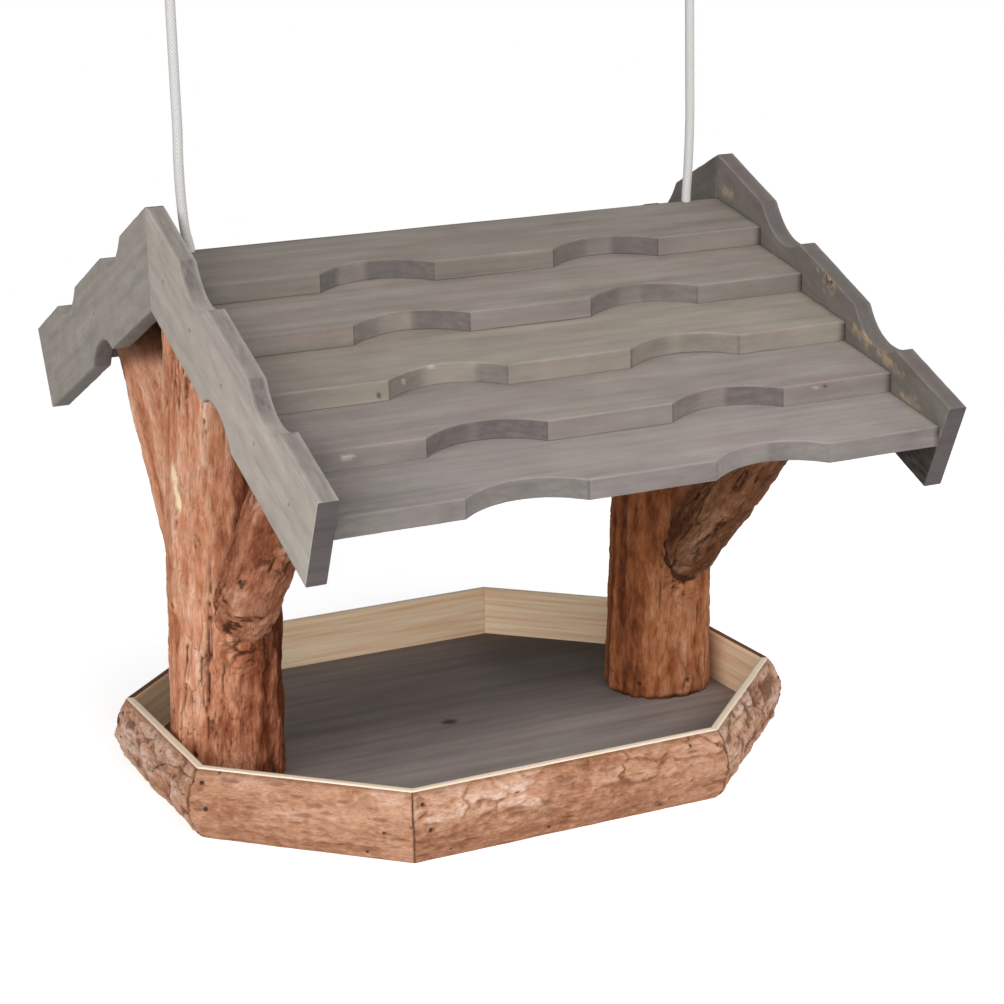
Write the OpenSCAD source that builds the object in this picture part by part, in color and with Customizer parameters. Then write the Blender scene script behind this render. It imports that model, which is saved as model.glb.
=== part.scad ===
// House-shaped hanging bird feeder: an eight-sided tray with a rim of bark-faced slabs, two branch posts
// with braces, and a gabled roof of lapped boards between scalloped gable boards.
// X runs along the ridge, the front slope faces -Y, and the tray stands on Z = 0.

/* [Tray] */
// Length of the six equal sides of the tray, inside the rim
tray_side = 133; // [130:1:150]
// Extra length of the tray along the ridge
tray_stretch = 67; // [60:1:90]
// Thickness of the floor plate
floor_t = 11; // [8:0.5:16]
// Height of the rim slabs
rim_h = 45; // [40:1:60]
// Thickness of a rim slab at its top and bottom edges
rim_edge_t = 4; // [3.5:0.5:6]
// Swell of the round bark face past the slab's edges
rim_swell = 8.5; // [7:0.5:11]

/* [Posts] */
// Distance between the centre lines of the two posts
post_spacing = 306; // [290:1:310]
// Offset of the pair of posts along the ridge from the middle of the tray
post_shift = 2; // [1:0.5:4]
// Diameter of a post
post_d = 70; // [64:1:74]
// Diameter of the left post's front brace
front_brace_d_left = 40; // [36:1:46]
// Diameter of the left post's back brace
back_brace_d_left = 46; // [38:1:48]
// Diameter of a brace on the right post
brace_d_right = 38; // [34:1:46]
// Offset of the right post's braces along the ridge from the post's centre line
brace_shift_right = 6; // [2:0.5:7]
// Lean of the left front brace from upright
front_lean_left = 43; // [40:1:48]
// Lean of the right front brace from upright
front_lean_right = 46; // [42:1:50]
// Height at which the left front brace's centre line meets the post's
front_brace_z_left = 94; // [84:1:106]
// Height at which the right front brace's centre line meets the post's
front_brace_z_right = 90; // [80:1:104]
// Lean of the back braces from upright
back_lean = 34; // [30:1:42]
// Height at which a back brace's centre line meets the post's
back_brace_z = 92; // [86:1:110]

/* [Roof boards] */
// Length of the roof over the outer faces of the gable boards
roof_len = 400; // [392:1:410]
// Offset of the roof along the ridge from the middle of the tray
roof_shift = 12; // [10:0.5:14]
// Height of the ridge line
ridge_z = 341; // [325:1:370]
// Upright thickness of a roof board
board_t = 12; // [10:0.5:14]
// Tilt of a roof board from level
board_tilt = 12; // [9:0.5:15]
// Level run of the ridge boards, from the ridge to their lower edge
top_run = 54; // [50:1:60]
// Level run that shows of each lower board
board_step = 48.6; // [44:0.2:54]
// Level run of each lap
board_lap = 16; // [14:0.5:20]
// Width of an arched notch at the board's edge
notch_w = 74; // [50:1:90]
// Depth of an arched notch
notch_depth = 12; // [7:0.5:13]
// Distance between the centres of a board's two notches
notch_spacing = 153; // [130:1:180]

/* [Gable boards] */
// Thickness of a gable board
gable_t = 12; // [10:0.5:16]
// Width of a gable board
gable_w = 56; // [52:1:64]
// Pitch of the gable boards
gable_pitch = 24.4; // [22:0.2:27]
// Level run of a gable board from apex to tip
gable_run = 258; // [250:1:275]
// Height of the gable's apex over the ridge line
gable_rise = 28; // [24:1:34]
// Level run of a straight tooth on the upper edge
tooth_run = 54; // [50:1:58]
// Level run of the straight tooth between the two scallops
mid_tooth_run = 62; // [56:1:66]
// Level run of a scallop
scallop_run = 44; // [40:1:50]
// Depth of a scallop
scallop_depth = 10.5; // [6:0.5:13]
// Level distance from the apex to the scallop in the lower edge
low_scallop_y = 85; // [70:1:110]

/* [Cords] */
// Diameter of a cord
cord_d = 6; // [4:0.5:6]
// Distance of the left cord from the left gable's inner face
cord_inset_left = 14.5; // [13:0.5:20]
// Distance of the right cord from the right gable's inner face
cord_inset_right = 23.5; // [22:0.5:30]
// Diameter of the stopper knot under the ridge
stopper_d = 16; // [13:0.5:17]
// Wall of the lashing round a loop's two strands
lashing_t = 3; // [2:0.5:4]
// Height of the lashing
lashing_h = 14; // [10:1:15]

/* [Fasteners] */
// Diameter of a brad
brad_d = 1.4; // [1:0.1:2]
// Length of a brad
brad_len = 25; // [22:1:30]
// Length of a brad through a lap
lap_brad_len = 20; // [16:1:21]
// Diameter of a brad's head
brad_head_d = 2.4; // [2.2:0.1:3.4]
// Thickness of a brad's head
brad_head_t = 0.8; // [0.5:0.1:1.2]
// Height of the lower brad across a mitre of the rim
mitre_brad_low = 22; // [16:0.5:26]
// Height of the upper brad across a mitre of the rim
mitre_brad_high = 37; // [30:0.5:38]
// Distance of the lap brads from the middle of the roof
lap_brad_x = 120; // [116:1:150]
// Diameter of a nail
nail_d = 2.8; // [2.2:0.1:3.4]
// Length of a roof nail into a trunk
nail_len = 55; // [48:1:65]
// Length of a roof nail into a brace
brace_nail_len = 40; // [36:1:42]
// Distance of a brace's roof nail from its centre line, towards the ridge
brace_nail_in = 8; // [6:0.5:9]
// Length of a nail in a brace's foot
foot_nail_len = 42; // [36:1:46]
// Diameter of a nail's head
nail_head_d = 6; // [4.5:0.1:7]
// Thickness of a nail's head
nail_head_t = 1.2; // [0.8:0.1:2]
// Height of the foot nail over the toe of its brace
foot_nail_rise = 16; // [12:0.5:20]
// Distance of a trunk's roof nail from the ridge
trunk_nail_y = 20; // [16:0.5:26]
// Distance of a trunk's roof nails from its centre line, on its inner side
trunk_nail_x = 14; // [8:0.5:16]
// Diameter of a post screw
screw_d = 4; // [3:0.1:5]
// Length of a post screw
screw_len = 45; // [35:1:60]
// Diameter of a post screw's head
screw_head_d = 8; // [6.5:0.1:9]
// Distance between the two screws of a post
screw_spacing = 30; // [20:1:40]

/* [Fits] */
// Gap between a sawn seat and the board on it
seat_gap = 0.1; // [0.05:0.05:0.25]
// Gap round a coped or drilled piece
cope_gap = 0.3; // [0.2:0.05:0.4]
// Gap round a fastener in its hole
fastener_gap = 0.05; // [0.03:0.01:0.1]

/* [Hidden] */
$fn = 48;
eps = 0.01;
boards = 5;
side_names = ["right", "back_right", "back", "back_left", "left", "front_left", "front", "front_right"];
SIDES = len(side_names);
turn = 360 / SIDES;

// Tray
corner_r = tray_side / (2 * sin(turn / 2));
apothem = tray_side / (2 * tan(turn / 2));
rim_t = rim_edge_t + rim_swell;
bark_r = (pow(rim_h / 2, 2) + pow(rim_swell, 2)) / (2 * rim_swell);
bark_u = rim_t - bark_r;
floor_brad_share = 0.3;

// Posts
post_x_left = post_shift - post_spacing / 2;
post_x_right = post_shift + post_spacing / 2;
brace_x_right = post_x_right + brace_shift_right;
// Of each brace: its centre line and diameter, its post's centre line, the slope that it leans to (front -1,
// back 1), its lean, and the height at which it meets the post
left_front = [post_x_left, front_brace_d_left, post_x_left, -1, front_lean_left, front_brace_z_left];
left_back = [post_x_left, back_brace_d_left, post_x_left, 1, back_lean, back_brace_z];
right_front = [brace_x_right, brace_d_right, post_x_right, -1, front_lean_right, front_brace_z_right];
right_back = [brace_x_right, brace_d_right, post_x_right, 1, back_lean, back_brace_z];
braces = [left_front, left_back, right_front, right_back];

// Roof
roof_x0 = roof_shift - roof_len / 2 + gable_t;
roof_x1 = roof_shift + roof_len / 2 - gable_t;
tilt_slope = tan(board_tilt);
step_slope = tilt_slope + board_t / board_step;
notch_r = (pow(notch_w / 2, 2) + pow(notch_depth, 2)) / (2 * notch_depth);

// Gables
apex_z = ridge_z + gable_rise;
gable_slope = tan(gable_pitch);
gable_drop = gable_w / cos(gable_pitch);
scallop_c = scallop_run / cos(gable_pitch);
scallop_r = (pow(scallop_c / 2, 2) + pow(scallop_depth, 2)) / (2 * scallop_depth);

// Cords
cord_r = cord_d / 2;
cord_x_left = roof_x0 + cord_inset_left;
cord_x_right = roof_x1 - cord_inset_right;
cord_hole_r = cord_r + cope_gap + 0.1;
pivot_rise = 1;
pivot_z = ridge_z + pivot_rise;
anchor_top = pivot_z - cord_r - cope_gap;
stopper_z = ridge_z - board_t - (stopper_d / 2 + cope_gap) / cos(board_tilt);
pocket_r = stopper_d / 2 + 1;
cord_sides = 10;
route_cuts = 2;
lashing_z = 150;
strand_gap = 7;
// Across and up from the pivot: the left cord bows towards its gable, the right one leans outwards
left_rise = [[0, -3], [0, -2], [0, 0], [-1, 5], [-2.5, 12], [-3.5, 25], [-4, 40], [-4, 55], [-3.5, 70],
    [-3.5, 90], [-3.5, 110], [-3.5, 130]];
right_rise = [[0, -3], [0, -2], [0, 0], [0.5, 8], [1.5, 20], [2.5, 38], [3, 55], [3, 72],
    [3, 90], [3, 110], [3, 130]];
// The tied loop, across and up from the foot of its lashing
loop_turn = [[0, 0], [0, 8], [0, 16], [-2.5, 23], [-8, 32.5], [-12.5, 44], [-8, 55.5], [3.5, 60],
    [15, 55.5], [19.5, 44], [15, 32.5], [9.5, 23], [strand_gap, 16], [strand_gap, 8], [strand_gap, 0]];

// Inner corner of the rim between side k and the next one
function corner(k) = let (a = turn * (k + 0.5))
    [corner_r * cos(a) + sign(cos(a)) * tray_stretch / 2, corner_r * sin(a)];
function side_len(k) = norm(corner(k) - corner(k - 1));
function mitre_out(k, depth) = let (a = turn * (k + 0.5))
    corner(k) + depth / cos(turn / 2) * [cos(a), sin(a)];
// Thickness of a rim slab at height z
function slab_t(z) = bark_u + sqrt(pow(bark_r, 2) - pow(z - rim_h / 2, 2));

// Lower edge, upper edge and top surface of roof board k, counted from the ridge
function board_low(k) = top_run + (k - 1) * board_step;
function board_high(k) = k == 1 ? 0 : board_low(k - 1) - board_lap;
function board_top(k, y) = ridge_z - (k - 1) * board_t - y * tilt_slope;
// Sawn plane on which the upper edges of the boards rest
function seat_z(y) = board_top(2, board_high(2)) - board_t - (y - board_high(2)) * step_slope - seat_gap;
// Board that covers level distance y
function board_over(y) = max(1, ceil((y - top_run) / board_step) + 1);

// Level distance from the ridge at which brace b's centre line meets the seat
function brace_reach(b) = (seat_z(0) - b[5]) / (1 / tan(b[4]) + step_slope);
// Toe of a brace, where its lower edge leaves the trunk, and its lower side at height at
function toe_z(b) = b[5] + (post_d / 2 - b[1] / 2 * cos(b[4])) / tan(b[4]) - b[1] / 2 * sin(b[4]);
function brace_out(b, at) = (at - b[5]) * tan(b[4]) + b[1] / 2 / cos(b[4]);

function curve(a, b, c, d, u) = 0.5 * (2 * b + (c - a) * u + (2 * a - 5 * b + 4 * c - d) * u * u
    + (3 * b - a - 3 * c + d) * u * u * u);
function smooth(p, n) = let (last = len(p) - 1) [
    for (i = [0 : last - 1]) for (j = [0 : n - 1])
        curve(p[max(i - 1, 0)], p[i], p[i + 1], p[min(i + 2, last)], j / n),
    p[last]];
function unit(v) = v / norm(v);
function route(rise) = let (foot = [rise[len(rise) - 1][0], lashing_z])
    smooth(concat(rise, [for (p = loop_turn) foot + p]), route_cuts);
// Least gap between the two strands of the loop, measured on the route's points
function least_gap(p) = min([for (i = [0 : len(p) - 1]) for (j = [i + 1 : 1 : len(p) - 1])
    if (norm(p[i] - p[j]) < 4 * cord_d && j - i > 5 * route_cuts) norm(p[i] - p[j])]) - cord_d;
echo(least_gap_in_loop = [least_gap(route(left_rise)), least_gap(route(right_rise))]);

module along_x(x0, x1) {
    translate([x0, 0, 0]) rotate([90, 0, 90]) linear_extrude(x1 - x0) children();
}

// Shank and head of a fastener that is driven down -Z, with the top of its head at the origin.
// With a gap it is the fastener's hole, which runs open above the head.
module driven(d, len, head_d, head_t, gap) {
    translate([0, 0, -len - gap]) cylinder(r = d / 2 + gap, h = len + gap);
    translate([0, 0, -head_t - gap])
        cylinder(r = head_d / 2 + gap, h = head_t + (gap > 0 ? head_d + gap : 0));
}

module brad(len, gap) {
    driven(brad_d, len, brad_head_d, brad_head_t, gap);
}

module nail(len, gap) {
    driven(nail_d, len, nail_head_d, nail_head_t, gap);
}

// Two brads through slab k into the floor's edge
module floor_brads(k, gap) {
    middle = (corner(k) + corner(k - 1)) / 2;
    for (s = [-floor_brad_share, floor_brad_share])
        translate([middle[0], middle[1], floor_t / 2]) rotate([0, 0, turn * k])
            translate([slab_t(floor_t / 2) - brad_head_t, s * side_len(k), 0])
                rotate([0, 90, 0]) brad(brad_len, gap);
}

// Two brads through the near end of the slab after side k, across the mitre into slab k
module mitre_brads(k, gap) {
    start = mitre_out(k, rim_edge_t);
    for (z = [mitre_brad_low, mitre_brad_high])
        translate([start[0], start[1], z]) rotate([0, 0, turn * k])
            translate([0, (slab_t(z) - rim_edge_t) / sin(turn) - brad_head_d / 2, 0])
                rotate([-90, 0, 0]) brad(brad_len, gap);
}

module post_screw_set(gap) {
    for (x = [post_x_left, post_x_right]) for (s = [-1, 1])
        translate([x + s * screw_spacing / 2, 0, 0]) {
            cylinder(r1 = screw_head_d / 2 + gap, r2 = screw_d / 2 + gap, h = (screw_head_d - screw_d) / 2);
            cylinder(r = screw_d / 2 + gap, h = screw_len + gap);
        }
}

// One nail through each brace's foot, level, into the trunk
module brace_nail_set(gap) {
    for (b = braces) {
        at = toe_z(b) + foot_nail_rise;
        translate([b[0], b[3] * (brace_out(b, at) - nail_head_d / 2), at])
            rotate([-b[3] * 90, 0, 0]) nail(foot_nail_len, gap);
    }
}

// Nails down through the boards into the braces and the trunks
module roof_nail_set(gap) {
    for (b = braces) {
        y = brace_reach(b) - brace_nail_in;
        translate([b[0], b[3] * y, board_top(board_over(y), y) - nail_head_t]) nail(brace_nail_len, gap);
    }
    for (x = [post_x_left + trunk_nail_x, post_x_right - trunk_nail_x]) for (dir = [-1, 1])
        translate([x, dir * trunk_nail_y, board_top(1, trunk_nail_y) - nail_head_t]) nail(nail_len, gap);
}

// Brads down through each lap
module roof_brad_set(gap) {
    for (k = [1 : boards - 1]) for (dir = [-1, 1]) for (s = [-1, 1]) {
        y = board_low(k) - board_lap / 2;
        translate([roof_shift + s * lap_brad_x, dir * y, board_top(k, y) - brad_head_t])
            brad(lap_brad_len, gap);
    }
}

// Brads through the gable boards into the ends of the roof boards
module gable_brad_set(gap) {
    for (k = [1 : boards]) for (dir = [-1, 1]) {
        y = (board_high(k) + board_low(k)) / 2;
        z = board_top(k, y) - board_t / 2;
        translate([roof_x0 - gable_t, dir * y, z]) rotate([0, -90, 0]) brad(brad_len, gap);
        translate([roof_x1 + gable_t, dir * y, z]) rotate([0, 90, 0]) brad(brad_len, gap);
    }
}

module floor_plate() {
    color("#655e59") difference() {
        linear_extrude(floor_t) polygon([for (k = [0 : SIDES - 1]) corner(k)]);
        for (k = [0 : SIDES - 1]) floor_brads(k, fastener_gap);
        post_screw_set(fastener_gap);
    }
}

// Bark-faced slab k: flat inside and on its edges, round outside, mitred at both ends
module rim_slab(k) {
    middle = (corner(k) + corner(k - 1)) / 2;
    reach = side_len(k) + 2 * rim_t;
    color("#b5734f") difference() {
        intersection() {
            translate([middle[0], middle[1], 0]) rotate([0, 0, turn * k]) translate([0, reach / 2, 0])
                rotate([90, 0, 0]) linear_extrude(reach) intersection() {
                    translate([bark_u, rim_h / 2]) circle(bark_r, $fn = 96);
                    square([rim_t, rim_h]);
                }
            linear_extrude(rim_h) polygon([corner(k - 1), corner(k),
                mitre_out(k, 2 * rim_t), mitre_out(k - 1, 2 * rim_t)]);
        }
        floor_brads(k, fastener_gap);
        mitre_brads(k, fastener_gap);
        mitre_brads(k - 1, fastener_gap);
    }
}

// Space under the stepped underside of the boards
module under_boards() {
    far = board_high(boards);
    outline = [[0, board_top(1, 0) - board_t], for (k = [2 : boards]) each [
        [board_high(k) - seat_gap, board_top(k - 1, board_high(k)) - board_t],
        [board_high(k) - seat_gap, board_top(k, board_high(k)) - board_t]]];
    for (m = [0, 1]) translate([0, 0, -seat_gap]) mirror([0, m, 0])
        along_x(-roof_len, roof_len) polygon(concat(outline, [[far, 0], [0, 0]]));
}

// Space behind the inner faces of the gables, where a trunk's top is pared flat
module gable_relief() {
    low = apex_z - gable_drop - post_d / 2 * gable_slope;
    for (x = [roof_x0 - post_d + seat_gap, roof_x1 - seat_gap])
        translate([x, -post_d, low]) cube([post_d, 2 * post_d, 2 * gable_drop]);
}

module trunk(x, cord_x) {
    color("#a9663f") difference() {
        intersection() {
            translate([x, 0, floor_t]) cylinder(d = post_d, h = ridge_z, $fn = 96);
            under_boards();
        }
        gable_relief();
        translate([cord_x, 0, stopper_z - pocket_r]) cylinder(r = pocket_r, h = ridge_z);
        post_screw_set(fastener_gap);
        brace_nail_set(fastener_gap);
        roof_nail_set(fastener_gap);
    }
}

// Branch that leans from the trunk to the roof; its foot is coped to the trunk, its top sawn to the seat
module brace(b) {
    far = gable_run;
    color("#9c5b38") difference() {
        intersection() {
            translate([b[0], 0, b[5]]) rotate([-b[3] * b[4], 0, 0])
                cylinder(d = b[1], h = ridge_z, $fn = 96);
            mirror([0, b[3] < 0 ? 1 : 0, 0]) along_x(roof_x0 + seat_gap, roof_x1 - seat_gap)
                polygon([[0, 0], [far, 0], [far, seat_z(far)], [0, seat_z(0)]]);
        }
        translate([b[2], 0, 0]) cylinder(r = post_d / 2 + cope_gap, h = 2 * ridge_z, $fn = 96);
        brace_nail_set(fastener_gap);
        roof_nail_set(fastener_gap);
    }
}

// Roof board k on the slope that faces dir
module roof_board(k, dir) {
    high = board_high(k);
    low = board_low(k);
    color("#8d857d") difference() {
        mirror([0, dir < 0 ? 1 : 0, 0]) difference() {
            along_x(roof_x0, roof_x1) polygon([[high, board_top(k, high)], [low, board_top(k, low)],
                [low, board_top(k, low) - board_t], [high, board_top(k, high) - board_t]]);
            for (s = [-1, 1])
                translate([roof_shift + s * notch_spacing / 2, low + notch_r - notch_depth, 0])
                    cylinder(r = notch_r, h = 2 * ridge_z, $fn = 128);
        }
        if (k == 1) for (x = [cord_x_left, cord_x_right])
            translate([x, 0, 0]) cylinder(r = cord_hole_r, h = 2 * ridge_z);
        gable_brad_set(fastener_gap);
        roof_brad_set(fastener_gap);
        roof_nail_set(fastener_gap);
    }
}

// Circle that cuts a scallop in an edge of the gable board, level distance y from the apex, side +1 or -1
module scallop(y, edge_z, side) {
    mid = y + scallop_run / 2;
    out = side * (scallop_r - scallop_depth);
    translate([mid + out * sin(gable_pitch), edge_z - mid * gable_slope + out * cos(gable_pitch)])
        circle(scallop_r, $fn = 96);
}

module gable_outline() {
    tip_z = apex_z - gable_run * gable_slope;
    difference() {
        polygon([[0, apex_z], [gable_run, tip_z],
            [gable_run - gable_w * sin(gable_pitch), tip_z - gable_w * cos(gable_pitch)],
            [0, apex_z - gable_drop]]);
        scallop(tooth_run, apex_z, 1);
        scallop(tooth_run + scallop_run + mid_tooth_run, apex_z, 1);
        scallop(low_scallop_y, apex_z - gable_drop, -1);
    }
}

// Gable board with its outer face at the end of the roof named by x0
module gable(x0, dir) {
    color("#9b958d") difference() {
        mirror([0, dir < 0 ? 1 : 0, 0]) along_x(x0, x0 + gable_t) gable_outline();
        gable_brad_set(fastener_gap);
    }
}

module rim_brads() {
    color("#6d6a66") for (k = [0 : SIDES - 1]) {
        floor_brads(k, 0);
        mitre_brads(k, 0);
    }
}

module brace_nails() {
    color("#6d6a66") brace_nail_set(0);
}

module post_screws() {
    color("#b9b9b4") post_screw_set(0);
}

module gable_brads() {
    color("#6d6a66") gable_brad_set(0);
}

module roof_brads() {
    color("#6d6a66") roof_brad_set(0);
}

module roof_nails() {
    color("#6d6a66") roof_nail_set(0);
}

// Free cord swept along its route, with a round lower end on the pivot
module cord(x, rise) {
    p = route(rise);
    last = len(p) - 1;
    rings = [for (i = [0 : last]) let (
        t = unit(p[min(i + 1, last)] - p[max(i - 1, 0)]),
        r = p[i][1] < 0 ? sqrt(max(pow(cord_r, 2) - pow(p[i][1], 2), 0.04)) : cord_r)
        for (s = [0 : cord_sides - 1]) let (a = 360 * s / cord_sides)
            [p[i][0] + r * cos(a) * t[1], r * sin(a), p[i][1] - r * cos(a) * t[0]]];
    walls = [for (i = [0 : last - 1]) for (s = [0 : cord_sides - 1]) let (
        n = (s + 1) % cord_sides, a = i * cord_sides, b = a + cord_sides)
        each [[a + s, b + s, b + n], [a + s, b + n, a + n]]];
    lower = [for (s = [1 : cord_sides - 2]) [0, s, s + 1]];
    upper = [for (s = [1 : cord_sides - 2]) [for (v = [0, s + 1, s]) last * cord_sides + v]];
    color("#d8d8d4") translate([x, 0, pivot_z])
        polyhedron(rings, concat(walls, lower, upper));
}

// Lashing round the two strands at the foot of the loop
module cord_knot(x, rise) {
    foot = x + rise[len(rise) - 1][0];
    outer_r = cord_r + cope_gap + lashing_t;
    color("#c9c9c4") translate([foot, 0, pivot_z + lashing_z + 0.5]) difference() {
        union() {
            for (dx = [0, strand_gap]) translate([dx, 0, 0]) cylinder(r = outer_r, h = lashing_h);
            translate([0, -outer_r, 0]) cube([strand_gap, 2 * outer_r, lashing_h]);
        }
        for (dx = [0, strand_gap]) translate([dx, 0, -1]) cylinder(r = cord_r + cope_gap, h = lashing_h + 2);
    }
}

// Cord in the ridge hole and the stopper knot in the trunk's pocket
module cord_anchor(x) {
    color("#c9c9c4") translate([x, 0, 0]) {
        translate([0, 0, stopper_z]) sphere(d = stopper_d);
        translate([0, 0, stopper_z]) cylinder(r = cord_r, h = anchor_top - stopper_z);
    }
}

floor_plate();
rim_slab(0);  // rim_slab_right
rim_slab(1);  // rim_slab_back_right
rim_slab(2);  // rim_slab_back
rim_slab(3);  // rim_slab_back_left
rim_slab(4);  // rim_slab_left
rim_slab(5);  // rim_slab_front_left
rim_slab(6);  // rim_slab_front
rim_slab(7);  // rim_slab_front_right
rim_brads();
trunk(post_x_left, cord_x_left);  // trunk_left
trunk(post_x_right, cord_x_right);  // trunk_right
brace(left_front);  // brace_left_front
brace(left_back);  // brace_left_back
brace(right_front);  // brace_right_front
brace(right_back);  // brace_right_back
brace_nails();
post_screws();
roof_board(1, -1);  // roof_board_front_1
roof_board(2, -1);  // roof_board_front_2
roof_board(3, -1);  // roof_board_front_3
roof_board(4, -1);  // roof_board_front_4
roof_board(5, -1);  // roof_board_front_5
roof_board(1, 1);  // roof_board_back_1
roof_board(2, 1);  // roof_board_back_2
roof_board(3, 1);  // roof_board_back_3
roof_board(4, 1);  // roof_board_back_4
roof_board(5, 1);  // roof_board_back_5
gable(roof_x0 - gable_t, -1);  // gable_left_front
gable(roof_x0 - gable_t, 1);  // gable_left_back
gable(roof_x1, -1);  // gable_right_front
gable(roof_x1, 1);  // gable_right_back
gable_brads();
roof_brads();
roof_nails();
cord(cord_x_left, left_rise);  // cord_left
cord(cord_x_right, right_rise);  // cord_right
cord_knot(cord_x_left, left_rise);  // cord_knot_left
cord_knot(cord_x_right, right_rise);  // cord_knot_right
cord_anchor(cord_x_left);  // cord_anchor_left
cord_anchor(cord_x_right);  // cord_anchor_right
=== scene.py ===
import math

import bpy
import bmesh
import numpy as np
from mathutils import Matrix, Vector


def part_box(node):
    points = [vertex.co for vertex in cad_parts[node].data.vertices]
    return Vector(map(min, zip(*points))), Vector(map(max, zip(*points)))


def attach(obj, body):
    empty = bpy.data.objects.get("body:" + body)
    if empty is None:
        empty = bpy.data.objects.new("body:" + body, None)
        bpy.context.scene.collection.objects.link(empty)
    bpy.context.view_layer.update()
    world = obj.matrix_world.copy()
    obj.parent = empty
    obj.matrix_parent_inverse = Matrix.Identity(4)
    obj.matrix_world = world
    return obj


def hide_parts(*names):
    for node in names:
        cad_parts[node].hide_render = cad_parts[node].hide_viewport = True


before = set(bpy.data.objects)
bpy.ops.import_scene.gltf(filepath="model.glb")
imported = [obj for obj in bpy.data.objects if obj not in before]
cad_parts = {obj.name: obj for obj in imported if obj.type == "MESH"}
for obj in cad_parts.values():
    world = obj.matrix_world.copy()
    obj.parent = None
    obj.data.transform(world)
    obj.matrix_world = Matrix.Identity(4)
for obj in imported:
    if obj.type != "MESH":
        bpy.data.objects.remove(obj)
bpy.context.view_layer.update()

# Tray floor: one eight-sided softwood board under a dark grey water stain. The rim slabs are bradded to its
# edge and the posts screwed down from below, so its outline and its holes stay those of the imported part.
MM = 0.001
KNOT_AT, KNOT_SIZE = (1.0, 8.5, 0.0), (7.0, 6.0)
# Painted light on the floor's open front and painted shade under the roof, over this depth, and a painted
# shadow behind the right post
ROOF_SHADE_SPAN, ROOF_SHADE_LEVELS = (-50.0, 65.0), (1.3, 0.8)
POST_SHADOW_AT, POST_SHADOW_REACH, POST_SHADOW_LEVEL = (125.0, 95.0, 11.0), (30.0, 90.0), 0.5
# Marks on stained wood, the cut and dent marks also carrying painted shade and shadow: colour, raggedness and
# strength
WOOD_MARKS = {"sawn": ("#4d4849", 0.2, 0.85), "worn": ("#aca299", 0.8, 0.5), "bare": ("#ab9577", 0.8, 0.75),
              "dent_and_shadow": ("#2f2926", 0.3, 0.92), "chip": ("#cbc6be", 0.4, 0.85)}


def colour(code):
    """sRGB hex value as linear red, green, blue and alpha."""
    parts = [int(code[i:i + 2], 16) / 255 for i in (1, 3, 5)]
    return [p / 12.92 if p <= 0.04045 else ((p + 0.055) / 1.055) ** 2.4 for p in parts] + [1.0]


def add(tree, kind, inputs=(), out=0, stops=(), **settings):
    """Adds a node with its settings, ramp stops and input values or links, and gives one of its outputs."""
    node = tree.nodes.new(kind)
    for name, value in settings.items():
        setattr(node, name, value)
    if stops:
        ramp = node.color_ramp.elements
        while len(ramp) < len(stops):
            ramp.new(0.5)
        for element, (place, value) in zip(ramp, stops):
            element.position = place
            element.color = colour(value)
    for key, value in dict(inputs).items():
        if isinstance(value, bpy.types.NodeSocket):
            tree.links.new(value, node.inputs[key])
        else:
            node.inputs[key].default_value = value
    return node.outputs[out]


def new_material(name, roughness, specular, metallic=0.0):
    """A node material and its surface shader."""
    material = bpy.data.materials.new(name)
    material.use_nodes = True
    shader = material.node_tree.nodes["Principled BSDF"]
    shader.inputs["Roughness"].default_value = roughness
    shader.inputs["Specular IOR Level"].default_value = specular
    shader.inputs["Metallic"].default_value = metallic
    return material, material.node_tree, shader


def join_surface(tree, shader, paint, height, strength, depth):
    """Joins a colour and a fine bump, with its depth in millimetres, to the surface shader."""
    tree.links.new(paint, shader.inputs["Base Color"])
    bump = add(tree, "ShaderNodeBump", {"Height": height, "Strength": strength, "Distance": depth * MM})
    tree.links.new(bump, shader.inputs["Normal"])


def streaks(tree, place, across, along, detail, at=(0, 0, 0)):
    """Noise drawn out along the grain, with its sizes across and along in millimetres."""
    sized = add(tree, "ShaderNodeMapping", {
        "Vector": place, "Scale": (1 / across, 1 / along, 1 / across), "Location": at})
    return add(tree, "ShaderNodeTexNoise", {
        "Vector": sized, "Scale": 1.0, "Detail": detail, "Roughness": 0.58})


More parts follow.
